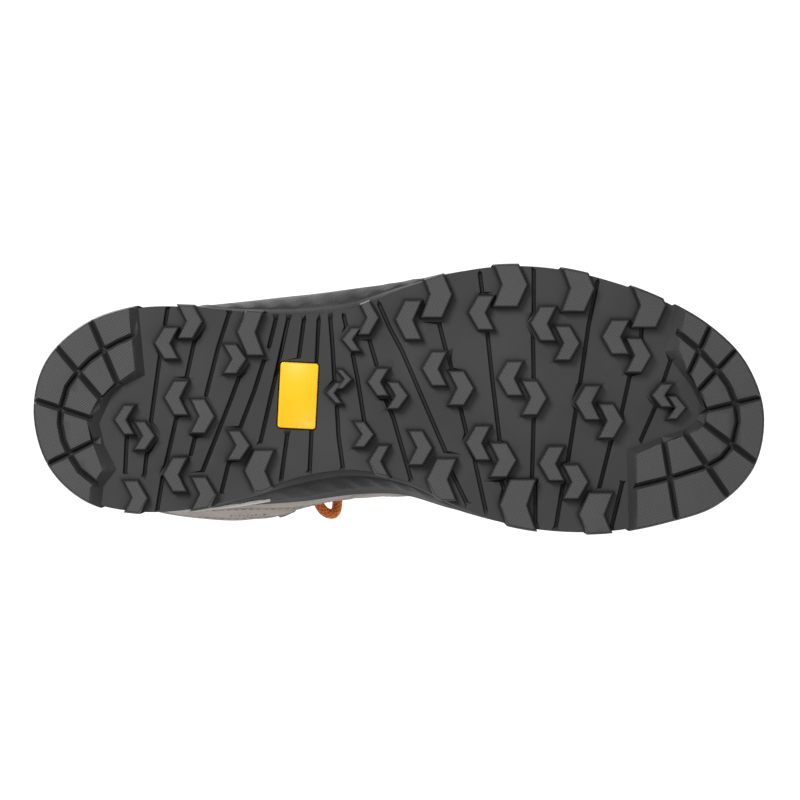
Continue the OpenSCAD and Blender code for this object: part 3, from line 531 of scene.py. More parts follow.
SIPES = [
    [(-110, -25.5), (-115.5, -23.1), (-121.6, -19.8), (-127.1, -15.9), (-132.2, -10.7), (-136.7, -4.6), (-139.1, 3.6),
     (-139.7, 10.4), (-138.4, 17.2), (-135.8, 23), (-131.9, 29.5), (-124.7, 35.3)],
    [(-127.6, -33), (-116.3, -6.7)], [(-142, -22), (-123.3, -0.2)], [(-152, 0.3), (-127.4, 8.3)],
    [(-146.5, 28), (-126.4, 18.2)],
    [(114.1, -27.2), (123.3, -19.7), (130.7, -11.5), (135.3, -5.3), (138.4, 2.2), (139.3, 9.7), (137, 19.3),
     (132.6, 24.7), (126.4, 28.2), (111.4, 32.9), (97, 36.4)],
    [(128.6, -31), (118.9, -10.1)], [(139.6, -21), (123.3, -3.3)], [(151, -0.8), (126.8, 4.9)],
    [(148, 27.4), (125.4, 10.7)], [(135.8, 41.5), (117.5, 14.8)], [(114.2, 52), (108.6, 18.2)]]
GROOVES = [
    [(-95.7, -36.7), (-96.7, -30.3)], [(-98.7, -17.6), (-101.1, -0.5), (-102.5, 9.7)], [(-84.7, -23.1), (-87.8, -8.7)],
    [(-70.4, -34.7), (-74.8, -21), (-79.9, -0.9)], [(-104.2, 23), (-105.1, 31.2)], [(-91.9, 7.7), (-96.4, 27.5)],
    [(-112.4, 15.5), (-113.1, 30.9)], [(-97.7, 32.9), (-99.8, 45.5)], [(-84.4, 16.2), (-86.1, 23.4)],
    [(-66.3, -8.4), (-69.7, 0.8), (-74.5, 13.1), (-81.3, 30.2)], [(-51.2, -32.2), (-54, -21)],
    [(-46.1, -32.2), (-51.6, -7.4), (-57.4, 17.9)], [(-56, -15.6), (-60.1, -2.6), (-65.6, 11.8)],
    [(-39.6, -32.2), (-41.7, -16.5)], [(-33.5, -32.2), (-34.8, -10.1)], [(-28.7, -32.5), (-27.7, -19.7), (-27, -7.4)],
    [(-23.2, -34), (-22.2, -29.6)], [(-19.5, -18), (-17.4, -7.4), (-14.7, 9.7)], [(-12.6, -23.8), (-9.6, -13.5)],
    [(-8.5, -38.5), (-4.1, -28.6), (0.7, -19.7), (7.5, -4), (13.7, 10.4), (18.8, 22.3)], [(-46.5, 15.5), (-48.9, 33)],
    [(-36.2, 7.7), (-37.2, 29.5)], [(-26, 3.6), (-25.3, 15.9), (-23.6, 28)], [(-5.8, 0.8), (-2.7, 8.3), (4.4, 33)],
    [(-70.4, 26.4), (-73.5, 38.8)], [(16.1, -30.6), (18.8, -20)], [(20.2, -16.3), (21.2, -12.2)],
    [(24.9, 4.2), (27.3, 14.1)], [(32.8, -51.5), (33.8, -43.6)], [(35.9, -27.2), (37.9, -8.1), (41, 17.6)],
    [(55, -52.5), (55, -35.4)], [(54.7, -24.5), (55, -8.1)], [(55, 8.3), (54.3, 32.9)], [(30.8, 26.1), (35.2, 46)],
    [(20.8, 29.5), (27.3, 43)], [(41.7, 34.3), (42.7, 37)], [(55.7, 35), (55.7, 51)], [(72.4, 4.9), (69, 26.1)],
    [(67, 35.7), (64.2, 52.5)], [(81.3, -48), (77.6, -29.9), (74.1, -6)], [(111.4, -15.2), (108.6, -7)],
    [(105.2, 3.6), (99.1, 17.5)], [(99.4, -29), (99.4, -24)], [(94.6, -9.1), (91.2, 6.3)], [(86.8, 17.9), (82, 37)],
    [(91.5, 35), (87.1, 53)]]
BADGE_AT, BADGE_W, BADGE_LEN, BADGE_TURN = (-42.0, -1.0), 15.0, 26.4, math.radians(3)


def lug_outline(x, y, way, height, width):
    h = height / 2
    shape = [(0, 0), (-LUG_POINT, -h), (-LUG_POINT - width, -h), (-width - 0.6, 0), (-LUG_POINT - width, h), (-LUG_POINT, h)]
    return [(x + way * px, y + py) for px, py in shape][::way]


def turned_round(shape):
    """The polygon, anticlockwise."""
    p = np.asarray(shape, float)
    area = np.sum(p[:, 0] * np.roll(p[:, 1], -1) - np.roll(p[:, 0], -1) * p[:, 1])
    return p if area > 0 else p[::-1]


def inset(shape, d):
    """An anticlockwise polygon with each side moved in by d."""
    p = turned_round(shape)
    a, b = p - np.roll(p, 1, 0), np.roll(p, -1, 0) - p
    na = unit(np.stack([-a[:, 1], a[:, 0]], -1))
    nb = unit(np.stack([-b[:, 1], b[:, 0]], -1))
    m = na + nb
    return p + d * m / np.maximum(0.3, np.sum(m * na, -1))[:, None]


def depth_in(points, shape):
    """How deep points lie inside a polygon: negative outside it."""
    p = turned_round(shape)
    q = np.roll(p, -1, 0)
    e = q - p
    w = points[:, None] - p[None]
    f = np.clip(np.sum(w * e, -1) / np.sum(e * e, -1), 0, 1)
    near = np.min(np.linalg.norm(w - f[..., None] * e, axis=-1), 1)
    y, y1, y2 = points[:, 1:2], p[None, :, 1], q[None, :, 1]
    edge_x = e[None, :, 0] * (y - y1) / np.where(y2 == y1, 1, y2 - y1) + p[None, :, 0]
    hit = ((y1 > y) != (y2 > y)) & (points[:, 0:1] < edge_x)
    return np.where(np.sum(hit, 1) % 2 == 1, near, -near)


def depth_in_line(points, line):
    """How far points are from a line of points."""
    p = np.asarray(line, float)
    e = p[1:] - p[:-1]
    w = points[:, None] - p[None, :-1]
    f = np.clip(np.sum(w * e, -1) / np.sum(e * e, -1), 0, 1)
    return np.min(np.linalg.norm(w - f[..., None] * e, axis=-1), 1)


def beside(line, d):
    """The line moved sideways by d."""
    p = np.asarray(line, float)
    t = unit(np.gradient(p, axis=0))
    return p + d * np.stack([-t[:, 1], t[:, 0]], -1)


def inlay_outline(grow):
    """The inlay's outline: the plain rectangle of the CAD inlay, with its corners just eased."""
    w, h, r = BADGE_W / 2 + grow, BADGE_LEN / 2 + grow, max(0.8 + grow, 0.1)
    quarter = np.radians([0, 30, 60, 90])
    shape = np.concatenate([
        np.column_stack([x * (w - r) + r * np.cos(quarter + start), y * (h - r) + r * np.sin(quarter + start)])
        for x, y, start in ((1, 1, 0), (-1, 1, math.pi / 2), (-1, -1, math.pi), (1, -1, 1.5 * math.pi))])
    turn = np.array([[math.cos(BADGE_TURN), -math.sin(BADGE_TURN)], [math.sin(BADGE_TURN), math.cos(BADGE_TURN)]])
    return shape @ turn.T + BADGE_AT


# How far the rubber lies above a lug's face, at a distance in from the lug's foot
LUG_WALL = np.array([(-1.0, LUG_H), (0, LUG_H), (0.5, 0.55), (0.68, 0.22), (1.05, 0)])


def wall_height(d):
    return np.interp(d, LUG_WALL[:, 0], LUG_WALL[:, 1])


def tread_height(p, lugs, edge_out):
    """How far the rubber lies above the plane of the lugs' faces, and how much of a face is at p."""
    inside_out = depth_in(p, edge_out)
    in_lug = np.max([depth_in(p, s) for s in lugs], 0)
    block = np.full(len(p), -9.0)
    for top, slope in ((HEEL_TOP, HEEL_SLOPE), (TOE_TOP, TOE_SLOPE)):
        a, b = depth_in(p, top), depth_in(p, slope)
        height = np.where(a >= 0, 0, np.where(b > 0, LUG_H * -a / np.maximum(1e-6, b - a), LUG_H))
        block = np.where(b > -0.01, np.maximum(block, LUG_H - height), block)
    lug_top = np.maximum(LUG_H - wall_height(np.minimum(in_lug, inside_out)), 0)
    block_top = np.where(block > -1, np.minimum(block, LUG_H - wall_height(inside_out)), 0)
    rise = np.maximum(lug_top, block_top)
    # foot is a mask of painted shade: 1 at each lug's foot, fading a little up its wall and out over the plate.
    lug_foot_shade = np.where(in_lug > 0, np.clip(1 - in_lug / 0.5, 0, 1), np.clip(1 + in_lug / 1.2, 0, 1)**0.7)
    foot = np.where(block > 0.3, 0, lug_foot_shade)
    for line in SIPES:
        away = depth_in_line(p, line)
        rise = np.where(block > -1, np.minimum(rise, LUG_H - 3.4 * np.clip(1 - away / 1.45, 0, 1)), rise)
    face = np.clip((rise - LUG_H + 0.06) / 0.06, 0, 1)
    groove = np.min([depth_in_line(p, line) for line in GROOVES], 0)
    cut = 1.5 * np.clip((0.85 - groove) / 0.35, 0, 1)
    rise = np.where(rise < 0.05, rise - cut, rise)
    badge = depth_in(p, inlay_outline(0.9))
    rise = np.where(badge > 0, -np.clip(badge / 0.25, 0, 1) * 1.3, rise)
    # The last value is a mask of painted shade: 1 in the grooves cut into the plate, fading over a thin band beside
    # them.
    return LUG_H - rise, face, foot, np.where(rise < 0.05, np.clip((1.1 - groove) / 0.25, 0, 1), 0)


def make_tread(rubber):
    us = np.arange(0, 32, 0.125)
    edge, edge_out = grown(TREAD, us, 0.0), grown(TREAD, us, EDGE_LUG)
    lugs = [lug_outline(*lug) for lug in LUGS]
    points, edges = [], []

    def add(line, closed=True):
        base = len(points)
        points.extend(Vector((float(x), float(y))) for x, y in line)
        count = len(line)
        edges.extend((base + k, base + (k + 1) % count) for k in range(count if closed else count - 1))

    add(edge)
    for d in (0.0, 0.5, 0.68, 1.05):
        add(grown(TREAD, us, EDGE_LUG - d) if d < 1.04 else grown(TREAD, us, -0.05))
    for shape in lugs:
        for d in (-1.2, 0.0, 0.5, 0.68, 1.05):
            add(inset(shape, d))
    for shape in (HEEL_TOP, HEEL_SLOPE, TOE_TOP, TOE_SLOPE):
        add(np.clip(shape, (-153, -57), (153, 58)), closed=False)
    for line in SIPES:
        for d in (-1.45, 0.0, 1.45):
            add(beside(line, d), closed=False)
    for line in GROOVES:
        for d in (-1.1, -0.85, -0.5, 0.5, 0.85, 1.1):
            add(beside(line, d), closed=False)
    for grow in (0.9, 0.65):
        add(inlay_outline(grow))
    for x in np.arange(-150, 152, 3.0):
        for y in np.arange(-56, 58, 3.0):
            points.append(Vector((x + 0.37 * math.sin(y), y + 0.31 * math.cos(1.7 * x))))
    out = geometry.delaunay_2d_cdt(points, edges, [], 0, 1e-4, False)
    p = np.array([tuple(v) for v in out[0]], float)
    triangles = np.array([f for f in out[2]], int)
    middle = p[triangles].mean(1)
    block = np.max([depth_in(middle, s) for s in (HEEL_SLOPE, TOE_SLOPE)] + [depth_in(middle, s) for s in lugs], 0)
    keep = (depth_in(middle, edge) > 0) | ((depth_in(middle, edge_out) > 0) & (block > 0))
    triangles = triangles[keep]
    height, face, foot, groove = tread_height(p, lugs, edge_out)
    x = np.clip(p[:, 0], -151.5, 151.5)
    z = ground(x) + height
    # the underside faces down
    a, b, c = (p[triangles[:, k]] for k in range(3))
    left = np.cross(b - a, c - a) > 0
    triangles[left] = triangles[left][:, ::-1]
    # the side wall up to the midsole, from the border of the underside
    count = {}
    for f in triangles:
        for k in range(3):
            key = (int(f[k]), int(f[(k + 1) % 3]))
            count[key] = 1
    border = [k for k in count if (k[1], k[0]) not in count]
    ring = sorted({i for k in border for i in k})
    above = {i: len(p) + n for n, i in enumerate(ring)}
    over = {i: len(p) + len(ring) + n for n, i in enumerate(ring)}
    top = plate_top(x[ring])
    centre = np.array([0.0, 4.0])
    pulled = p[ring] + unit(centre - p[ring]) * 6
    all_points = np.concatenate([
        np.column_stack([p, z]), np.column_stack([p[ring], top]), np.column_stack([pulled, top])])
    faces = [tuple(f) for f in triangles]
    for i, j in border:
        faces.append((j, i, above[i], above[j]))
        faces.append((above[j], above[i], over[i], over[j]))
    tail = np.zeros(2 * len(ring))
    # foot and groove are masks of painted shade, at the lugs' feet and in the grooves.
    masks = {"lug_face": np.concatenate([face, tail]), "foot": np.concatenate([foot, tail]),
             "groove": np.concatenate([groove, tail])}
    tread = new_object("tread", all_points, faces, rubber, masks=masks)
    tread = merged(tread, 0.000012)
    tread.data.set_sharp_from_angle(angle=math.radians(24))
    return finished(tread, ["outsole"])


def make_inlay(material):
    """The inlay: a plain blank plate with a bevelled edge."""
    base = plate_under(BADGE_AT[0])
    # each ring's growth and its height over the plate, from inside the recess down to the face
    rings = [(0.35, 1.4), (0.35, 0.1), (0.2, -0.25), (-0.1, -0.42)]
    count = len(inlay_outline(0))
    points = np.concatenate([np.column_stack([inlay_outline(g), np.full(count, base + h)]) for g, h in rings])
    faces = []
    for start in range(0, (len(rings) - 1) * count, count):
        for j in range(count):
            i = (j + 1) % count
            faces.append((start + j, start + count + j, start + count + i, start + i))
    face_start = (len(rings) - 1) * count
    faces += [tuple(range(count)), tuple(range(face_start + count - 1, face_start - 1, -1))]
    inlay = new_object("tread_inlay", points, faces, material)
    shape = bmesh.new()
    shape.from_mesh(inlay.data)
    bmesh.ops.recalc_face_normals(shape, faces=shape.faces)
    shape.to_mesh(inlay.data)
    shape.free()
    inlay.data.set_sharp_from_angle(angle=math.radians(30))
    return finished(inlay, ["sole_badge"])

# ---- finishes ----


def add_node(tree, kind, **values):
    """A shader or geometry node. values are its settings, and sockets holds its inputs by number or name."""
    made = tree.nodes.new(kind)
    sockets = values.pop("sockets", {})
    for key, value in values.items():
        setattr(made, key, value)
    for key, value in sockets.items():
        if hasattr(value, "is_output"):
            tree.links.new(value, made.inputs[key])
        else:
            made.inputs[key].default_value = value
    return made


def new_group(name, inputs, outputs, kind="ShaderNodeTree"):
    """A node group with named sockets: (name, type, default)."""
    group = bpy.data.node_groups.new(name, kind)
    for label, socket, value in inputs:
        made = group.interface.new_socket(label, in_out="INPUT", socket_type=socket)
        if value is not None:
            made.default_value = value
    for label, socket in outputs:
        group.interface.new_socket(label, in_out="OUTPUT", socket_type=socket)
    return group, group.nodes.new("NodeGroupInput"), group.nodes.new("NodeGroupOutput")


def math_node(tree, operation, a, b=0.0, c=0.0):
    return add_node(tree, "ShaderNodeMath", operation=operation, sockets={0: a, 1: b, 2: c}).outputs[0]


def make_nap_group():
    """Soft cloudy colour change with fine fibres: a mask for colour and a height."""
    tree, given, out = new_group(
        "nap", [("Cloud size", "NodeSocketFloat", 60.0), ("Fibre size", "NodeSocketFloat", 1400.0)],
        [("Mask", "NodeSocketFloat"), ("Height", "NodeSocketFloat")])
    place = add_node(tree, "ShaderNodeTexCoord").outputs["Object"]
    cloud = add_node(tree, "ShaderNodeTexNoise", sockets={"Vector": place, "Scale": given.outputs[0], "Detail": 4.0})
    fibre = add_node(tree, "ShaderNodeTexNoise", sockets={"Vector": place, "Scale": given.outputs[1], "Detail": 2.0})
    both = math_node(tree, "MULTIPLY_ADD", cloud.outputs["Fac"], 0.7, math_node(tree, "MULTIPLY", fibre.outputs["Fac"], 0.3))
    tree.links.new(both, out.inputs["Mask"])
    tree.links.new(fibre.outputs["Fac"], out.inputs["Height"])
    return tree


def make_weave_group():
    """Over and under threads on the UV map: a height and a mask of the gaps between the threads."""
    tree, given, out = new_group(
        "weave", [("Threads along", "NodeSocketFloat", 900.0), ("Threads across", "NodeSocketFloat", 900.0)],
        [("Height", "NodeSocketFloat"), ("Gap", "NodeSocketFloat")])
    uv = add_node(tree, "ShaderNodeUVMap", uv_map="UVMap").outputs["UV"]
    parts = add_node(tree, "ShaderNodeSeparateXYZ", sockets={0: uv})
    a = math_node(tree, "SINE", math_node(tree, "MULTIPLY", parts.outputs[0], given.outputs[0]))
    b = math_node(tree, "SINE", math_node(tree, "MULTIPLY", parts.outputs[1], given.outputs[1]))
    height = math_node(tree, "MULTIPLY_ADD", math_node(tree, "MULTIPLY", a, b), 0.5, 0.5)
    gap = math_node(tree, "SUBTRACT", 1.0, math_node(tree, "MAXIMUM", math_node(tree, "ABSOLUTE", a), math_node(tree, "ABSOLUTE", b)))
    tree.links.new(height, out.inputs["Height"])
    tree.links.new(gap, out.inputs["Gap"])
    return tree


def make_ribs_group():
    """Fine woven ribs in space, for webbing: a height."""
    tree, given, out = new_group("ribs", [("Pitch", "NodeSocketFloat", 900.0)], [("Height", "NodeSocketFloat")])
    place = add_node(tree, "ShaderNodeTexCoord").outputs["Object"]
    parts = add_node(tree, "ShaderNodeSeparateXYZ", sockets={0: place})
    waves = [math_node(tree, "SINE", math_node(tree, "MULTIPLY", parts.outputs[k], given.outputs[0])) for k in range(3)]
    height = math_node(tree, "MULTIPLY_ADD", math_node(tree, "MULTIPLY", waves[1], math_node(tree, "ADD", waves[0], waves[2])), 0.25, 0.5)
    tree.links.new(height, out.inputs["Height"])
    return tree


def make_dust_group():
    """Pale dust in low frequency patches: a mask."""
    tree, given, out = new_group("dust", [("Size", "NodeSocketFloat", 25.0), ("Amount", "NodeSocketFloat", 0.3)],
                                 [("Mask", "NodeSocketFloat")])
    place = add_node(tree, "ShaderNodeTexCoord").outputs["Object"]
    noise = add_node(tree, "ShaderNodeTexNoise", sockets={"Vector": place, "Scale": given.outputs[0], "Detail": 6.0})
    patch = add_node(tree, "ShaderNodeMapRange", sockets={"Value": noise.outputs["Fac"], "From Min": 0.45, "From Max": 0.75})
    tree.links.new(math_node(tree, "MULTIPLY", patch.outputs[0], given.outputs[1]), out.inputs["Mask"])
    return tree


NAP, WEAVE, RIBS, DUST = make_nap_group(), make_weave_group(), make_ribs_group(), make_dust_group()


def place_group(tree, group, **values):
    made = tree.nodes.new("ShaderNodeGroup")
    made.node_tree = group
    for key, value in values.items():
        made.inputs[key.replace("_", " ").capitalize()].default_value = value
    return made


def mixed(tree, mask, a, b):
    """Colour a where mask is 0 and b where it is 1."""
    made = tree.nodes.new("ShaderNodeMix")
    made.data_type = "RGBA"
    tree.links.new(mask, made.inputs["Factor"])
    for socket, value in ((made.inputs["A"], a), (made.inputs["B"], b)):
        if hasattr(value, "is_output"):
            tree.links.new(value, socket)
        else:
            socket.default_value = (*value, 1)
    return made.outputs["Result"]


def masked(tree, name):
    return add_node(tree, "ShaderNodeAttribute", attribute_name=name).outputs["Fac"]


def new_material(name, roughness, **sockets):
    material = bpy.data.materials.new(name)
    material.use_nodes = True
    tree = material.node_tree
    shader = tree.nodes["Principled BSDF"]
    shader.inputs["Roughness"].default_value = roughness
    for key, value in sockets.items():
        shader.inputs[key.replace("_", " ")].default_value = value
    return material, tree, shader


def bumped(tree, shader, height, distance, strength=1.0):
    bump = add_node(tree, "ShaderNodeBump", sockets={"Strength": strength, "Distance": distance, "Height": height})
    tree.links.new(bump.outputs["Normal"], shader.inputs["Normal"])


def rubber_finish():
    """Moulded rubber: dull knurled lug faces, a smoother darker plate, painted shade at the lugs' feet and in the
    grooves.
    """
    m, tree, shader = new_material("moulded rubber", 0.62, Specular_IOR_Level=0.42)
    nap = place_group(tree, NAP, Cloud_size=40.0, Fibre_size=2200.0)
    place = add_node(tree, "ShaderNodeTexCoord").outputs["Object"]
    turned = add_node(tree, "ShaderNodeMapping", sockets={"Vector": place, "Rotation": (0, 0, 0.6), "Scale": (1, 1, 0)})
    parts = add_node(tree, "ShaderNodeSeparateXYZ", sockets={0: turned.outputs[0]})
    wave = [math_node(tree, "SINE", math_node(tree, "MULTIPLY", parts.outputs[k], 2 * math.pi / 0.00088)) for k in (0, 1)]
    knurl = math_node(tree, "MULTIPLY", math_node(tree, "MULTIPLY_ADD", math_node(tree, "ADD", wave[0], wave[1]), 0.25, 0.5),
                      masked(tree, "lug_face"))
    plate = mixed(tree, nap.outputs["Mask"], (0.017, 0.017, 0.0175), (0.034, 0.034, 0.035))
    face = mixed(tree, math_node(tree, "MULTIPLY_ADD", knurl, 0.6, 0.2), (0.024, 0.024, 0.025), (0.082, 0.082, 0.083))
    colour = mixed(tree, masked(tree, "lug_face"), plate, face)
    # Painted shade: the lugs' feet darkened to near black, where their contact shadow falls.
    painted_foot_shade = math_node(tree, "MULTIPLY", masked(tree, "foot"), 0.9)
    colour = mixed(tree, painted_foot_shade, colour, (0.002, 0.002, 0.002))
    # Painted shade: the grooves darkened to near black.
    colour = mixed(tree, masked(tree, "groove"), colour, (0.0015, 0.0015, 0.0015))
    dust = place_group(tree, DUST, Size=30.0, Amount=0.10)
    colour = mixed(tree, dust.outputs["Mask"], colour, (0.12, 0.115, 0.11))
    tree.links.new(colour, shader.inputs["Base Color"])
    bumped(tree, shader, math_node(tree, "MULTIPLY_ADD", knurl, 1.0, math_node(tree, "MULTIPLY", nap.outputs["Height"], 0.12)), 0.00018)
    return m


def inlay_finish():
    m, tree, shader = new_material("yellow inlay", 0.33, Coat_Weight=0.25)
    nap = place_group(tree, NAP, Cloud_size=120.0, Fibre_size=3000.0)
    tree.links.new(mixed(tree, nap.outputs["Mask"], (0.93, 0.49, 0.0), (0.97, 0.55, 0.0)), shader.inputs["Base Color"])
    bumped(tree, shader, nap.outputs["Height"], 0.00002)
    return m


def nap_finish(name, dark, light, roughness, cloud=60.0, fibre=1500.0, relief=0.00008, rim=None, dust=0.08, sheen=0.0):
    """Suede, leather, foam, board or rubber with a grain: two near colours, and a paler or darker rim."""
    m, tree, shader = new_material(name, roughness, Sheen_Weight=sheen)
    nap = place_group(tree, NAP, Cloud_size=cloud, Fibre_size=fibre)
    spread_mask = add_node(tree, "ShaderNodeMapRange", sockets={"Value": nap.outputs["Mask"], "From Min": 0.35, "From Max": 0.65})
    colour = mixed(tree, spread_mask.outputs[0], dark, light)
    if rim:
        colour = mixed(tree, masked(tree, "rim"), colour, rim)
    if dust:
        patches = place_group(tree, DUST, Size=22.0, Amount=dust)
        colour = mixed(tree, patches.outputs["Mask"], colour, (0.30, 0.28, 0.25))
    tree.links.new(colour, shader.inputs["Base Color"])
    bumped(tree, shader, nap.outputs["Height"], relief)
    return m


def woven_finish(name, dark, light, along, across, roughness=0.85, relief=0.00025, sheen=0.15):
    """Cloth whose threads follow its UV map."""
    m, tree, shader = new_material(name, roughness, Sheen_Weight=sheen)
    weave = place_group(tree, WEAVE, Threads_along=2 * math.pi / along, Threads_across=2 * math.pi / across)
    nap = place_group(tree, NAP, Cloud_size=50.0, Fibre_size=2500.0)
    colour = mixed(tree, weave.outputs["Height"], dark, light)
    colour = mixed(tree, math_node(tree, "MULTIPLY", nap.outputs["Mask"], 0.35), colour, dark)
    tree.links.new(colour, shader.inputs["Base Color"])
    bumped(tree, shader, weave.outputs["Height"], relief)
    return m


def webbing_finish(name, dark, light, pitch=0.0011):
    m, tree, shader = new_material(name, 0.8, Sheen_Weight=0.1)
    ribs = place_group(tree, RIBS, Pitch=2 * math.pi / pitch)
    nap = place_group(tree, NAP, Cloud_size=80.0, Fibre_size=2500.0)
    colour = mixed(tree, ribs.outputs["Height"], dark, light)
    colour = mixed(tree, math_node(tree, "MULTIPLY", nap.outputs["Mask"], 0.3), colour, dark)
    tree.links.new(colour, shader.inputs["Base Color"])
    bumped(tree, shader, ribs.outputs["Height"], 0.0003)
    return m


def metal_finish():
    """Black lacquered steel, with bare metal where it is scuffed."""
    m, tree, shader = new_material("lacquered hooks", 0.34)
    nap = place_group(tree, NAP, Cloud_size=220.0, Fibre_size=3000.0)
    scuff = add_node(tree, "ShaderNodeMapRange", sockets={"Value": nap.outputs["Mask"], "From Min": 0.60, "From Max": 0.72})
    tree.links.new(mixed(tree, scuff.outputs[0], (0.012, 0.012, 0.013), (0.32, 0.31, 0.30)), shader.inputs["Base Color"])
    tree.links.new(math_node(tree, "MULTIPLY_ADD", scuff.outputs[0], 0.5, 0.4), shader.inputs["Metallic"])
    bumped(tree, shader, nap.outputs["Height"], 0.00002)
    return m


RUBBER = rubber_finish()
INLAY = inlay_finish()
FOAM_SIDE = nap_finish("midsole foam", (0.013, 0.013, 0.014), (0.026, 0.026, 0.028), 0.7, 90.0, 900.0, 0.00012, dust=0.06)
ACCENT = nap_finish("pale inlaid line", (0.62, 0.62, 0.60), (0.74, 0.74, 0.72), 0.5, 80.0, 1500.0, 0.00003, dust=0.15)
RAND = nap_finish("rand rubber", (0.012, 0.012, 0.013), (0.024, 0.024, 0.026), 0.55, 70.0, 700.0, 0.00016,
                  rim=(0.045, 0.045, 0.047), dust=0.07)
SUEDE = nap_finish("taupe suede", (0.215, 0.172, 0.150), (0.335, 0.280, 0.250), 0.94, 90.0, 1500.0, 0.00035,
                   rim=(0.15, 0.115, 0.095), dust=0.12, sheen=0.25)
DARK_SUEDE = nap_finish("dark suede", (0.026, 0.026, 0.029), (0.046, 0.046, 0.050), 0.9, 55.0, 1300.0, 0.00022,
                        rim=(0.015, 0.015, 0.016), dust=0.07, sheen=0.2)
LEATHER = nap_finish("eyestay leather", (0.014, 0.014, 0.016), (0.028, 0.028, 0.031), 0.5, 90.0, 600.0, 0.00025,
                     rim=(0.055, 0.05, 0.045), dust=0.05)
STIFFENER = nap_finish("stiffener sheet", (0.55, 0.51, 0.43), (0.68, 0.64, 0.55), 0.8, 50.0, 700.0, dust=0.1)
BOARD = nap_finish("lasting board", (0.42, 0.33, 0.20), (0.56, 0.46, 0.30), 0.9, 40.0, 900.0, dust=0.1)
SHANK = nap_finish("shank nylon", (0.02, 0.02, 0.022), (0.035, 0.035, 0.037), 0.4, 60.0, 900.0, dust=0.05)
PADDING = nap_finish("open foam", (0.08, 0.08, 0.085), (0.14, 0.14, 0.15), 0.95, 60.0, 500.0, 0.0004, dust=0.0)
LINING = woven_finish("lining mesh", (0.05, 0.05, 0.054), (0.16, 0.16, 0.17), 0.0026, 0.0022, relief=0.0004)
TONGUE = woven_finish("tongue cloth", (0.020, 0.020, 0.022), (0.060, 0.060, 0.064), 0.0014, 0.0014)
BINDING = woven_finish("collar binding", (0.010, 0.010, 0.011), (0.034, 0.034, 0.036), 0.0016, 0.0011)
FOOTBED = woven_finish("footbed cloth", (0.05, 0.05, 0.054), (0.12, 0.12, 0.13), 0.0012, 0.0012, relief=0.00015)
LACE = woven_finish("orange lace", (0.52, 0.105, 0.008), (0.93, 0.27, 0.03), 0.0021, 0.0023, roughness=0.7, relief=0.0004)
PULL = webbing_finish("orange webbing", (0.50, 0.10, 0.008), (0.90, 0.25, 0.03))
WEBBING = webbing_finish("black webbing", (0.008, 0.008, 0.009), (0.030, 0.030, 0.032))
HOOKS = metal_finish()
THREAD = nap_finish("grey thread", (0.07, 0.07, 0.072), (0.14, 0.14, 0.143), 0.7, 300.0, 3000.0, 0.00002, dust=0.0)
TAUPE_THREAD = nap_finish("taupe thread", (0.30, 0.25, 0.21), (0.42, 0.36, 0.31), 0.75, 300.0, 3000.0, 0.00002, dust=0.0)
HOLE = nap_finish("hole shadow", (0.010, 0.009, 0.008), (0.018, 0.016, 0.014), 0.95, 300.0, 3000.0, 0.00002, dust=0.0)

# ---- midsole and rand ----


def make_midsole():
    """The foam wall round the boot: a moulded step, a crease and slanted flutes at the heel and waist."""
    us = np.arange(0, 32, 0.08)
    w = folded(us)
    heights = np.array([0, 0, .03, .1, .2, .29, .33, .37, .42, .52, .62, .72, .82, .9, .95, .985, 1, 1])
    push = np.array([-9, -.7, -.1, .25, .45, .5, -.45, -.6, .35, .6, .8, .8, .7, .55, .35, -.1, -.7, -9])
    points = []
    for h, d in zip(heights, push):
        flute = 0.38 * np.sin(us * 14 + h * 7) * smooth((h - 0.42) / 0.1) * smooth((0.94 - h) / 0.08) * (1 - smooth((w - 7.5) / 2))
        points.append(sole_wall(us, np.full_like(us, h), d + (flute if d > -1 else 0)))
    n, m = len(heights), len(us)
    p = np.concatenate(points)
    index = np.arange(n * m).reshape(n, m)
    index = np.concatenate([index, index[:, :1]], 1)
    index = np.concatenate([index, index[:1]])
    q = np.stack([index[:-1, :-1], index[:-1, 1:], index[1:, 1:], index[1:, :-1]], -1).reshape(-1, 4)
    high = np.repeat(heights, m)
    piece = new_object("midsole_wall", p, q, FOAM_SIDE, masks={"rim": np.clip(1 - np.abs(high - 0.35) / 0.05, 0, 1)})
    piece.data.set_sharp_from_angle(angle=math.radians(40))
    finished(piece, ["midsole"])


def rand_top(u):
    """How far up a column the rand ends, as t."""
    w = folded(u)
    want = mix(np.where(inner_side(u), 11.0, 20.0), 30.0, smooth((w - 10.5) / 3.5))
    ts = np.linspace(0, 0.8, 81)
    flat_u, flat_h = np.ravel(u), np.ravel(want)
    z = face(flat_u[:, None], ts[None, :])[..., 2]
    rise = np.maximum.accumulate(z - z[:, :1], 1)
    return np.array([np.interp(h, r, ts) for h, r in zip(flat_h, rise)]).reshape(np.shape(u))


RAND_U = np.linspace(0, 32, 257)
RAND_T_AT = rand_top(RAND_U)


def rand_edge(u):
    return np.interp(np.mod(u, 32), RAND_U, RAND_T_AT)


def constant(value):
    return lambda u: np.full(np.shape(u), float(value))


def offset(value):
    return lambda u, t: np.full(np.shape(u), float(value))


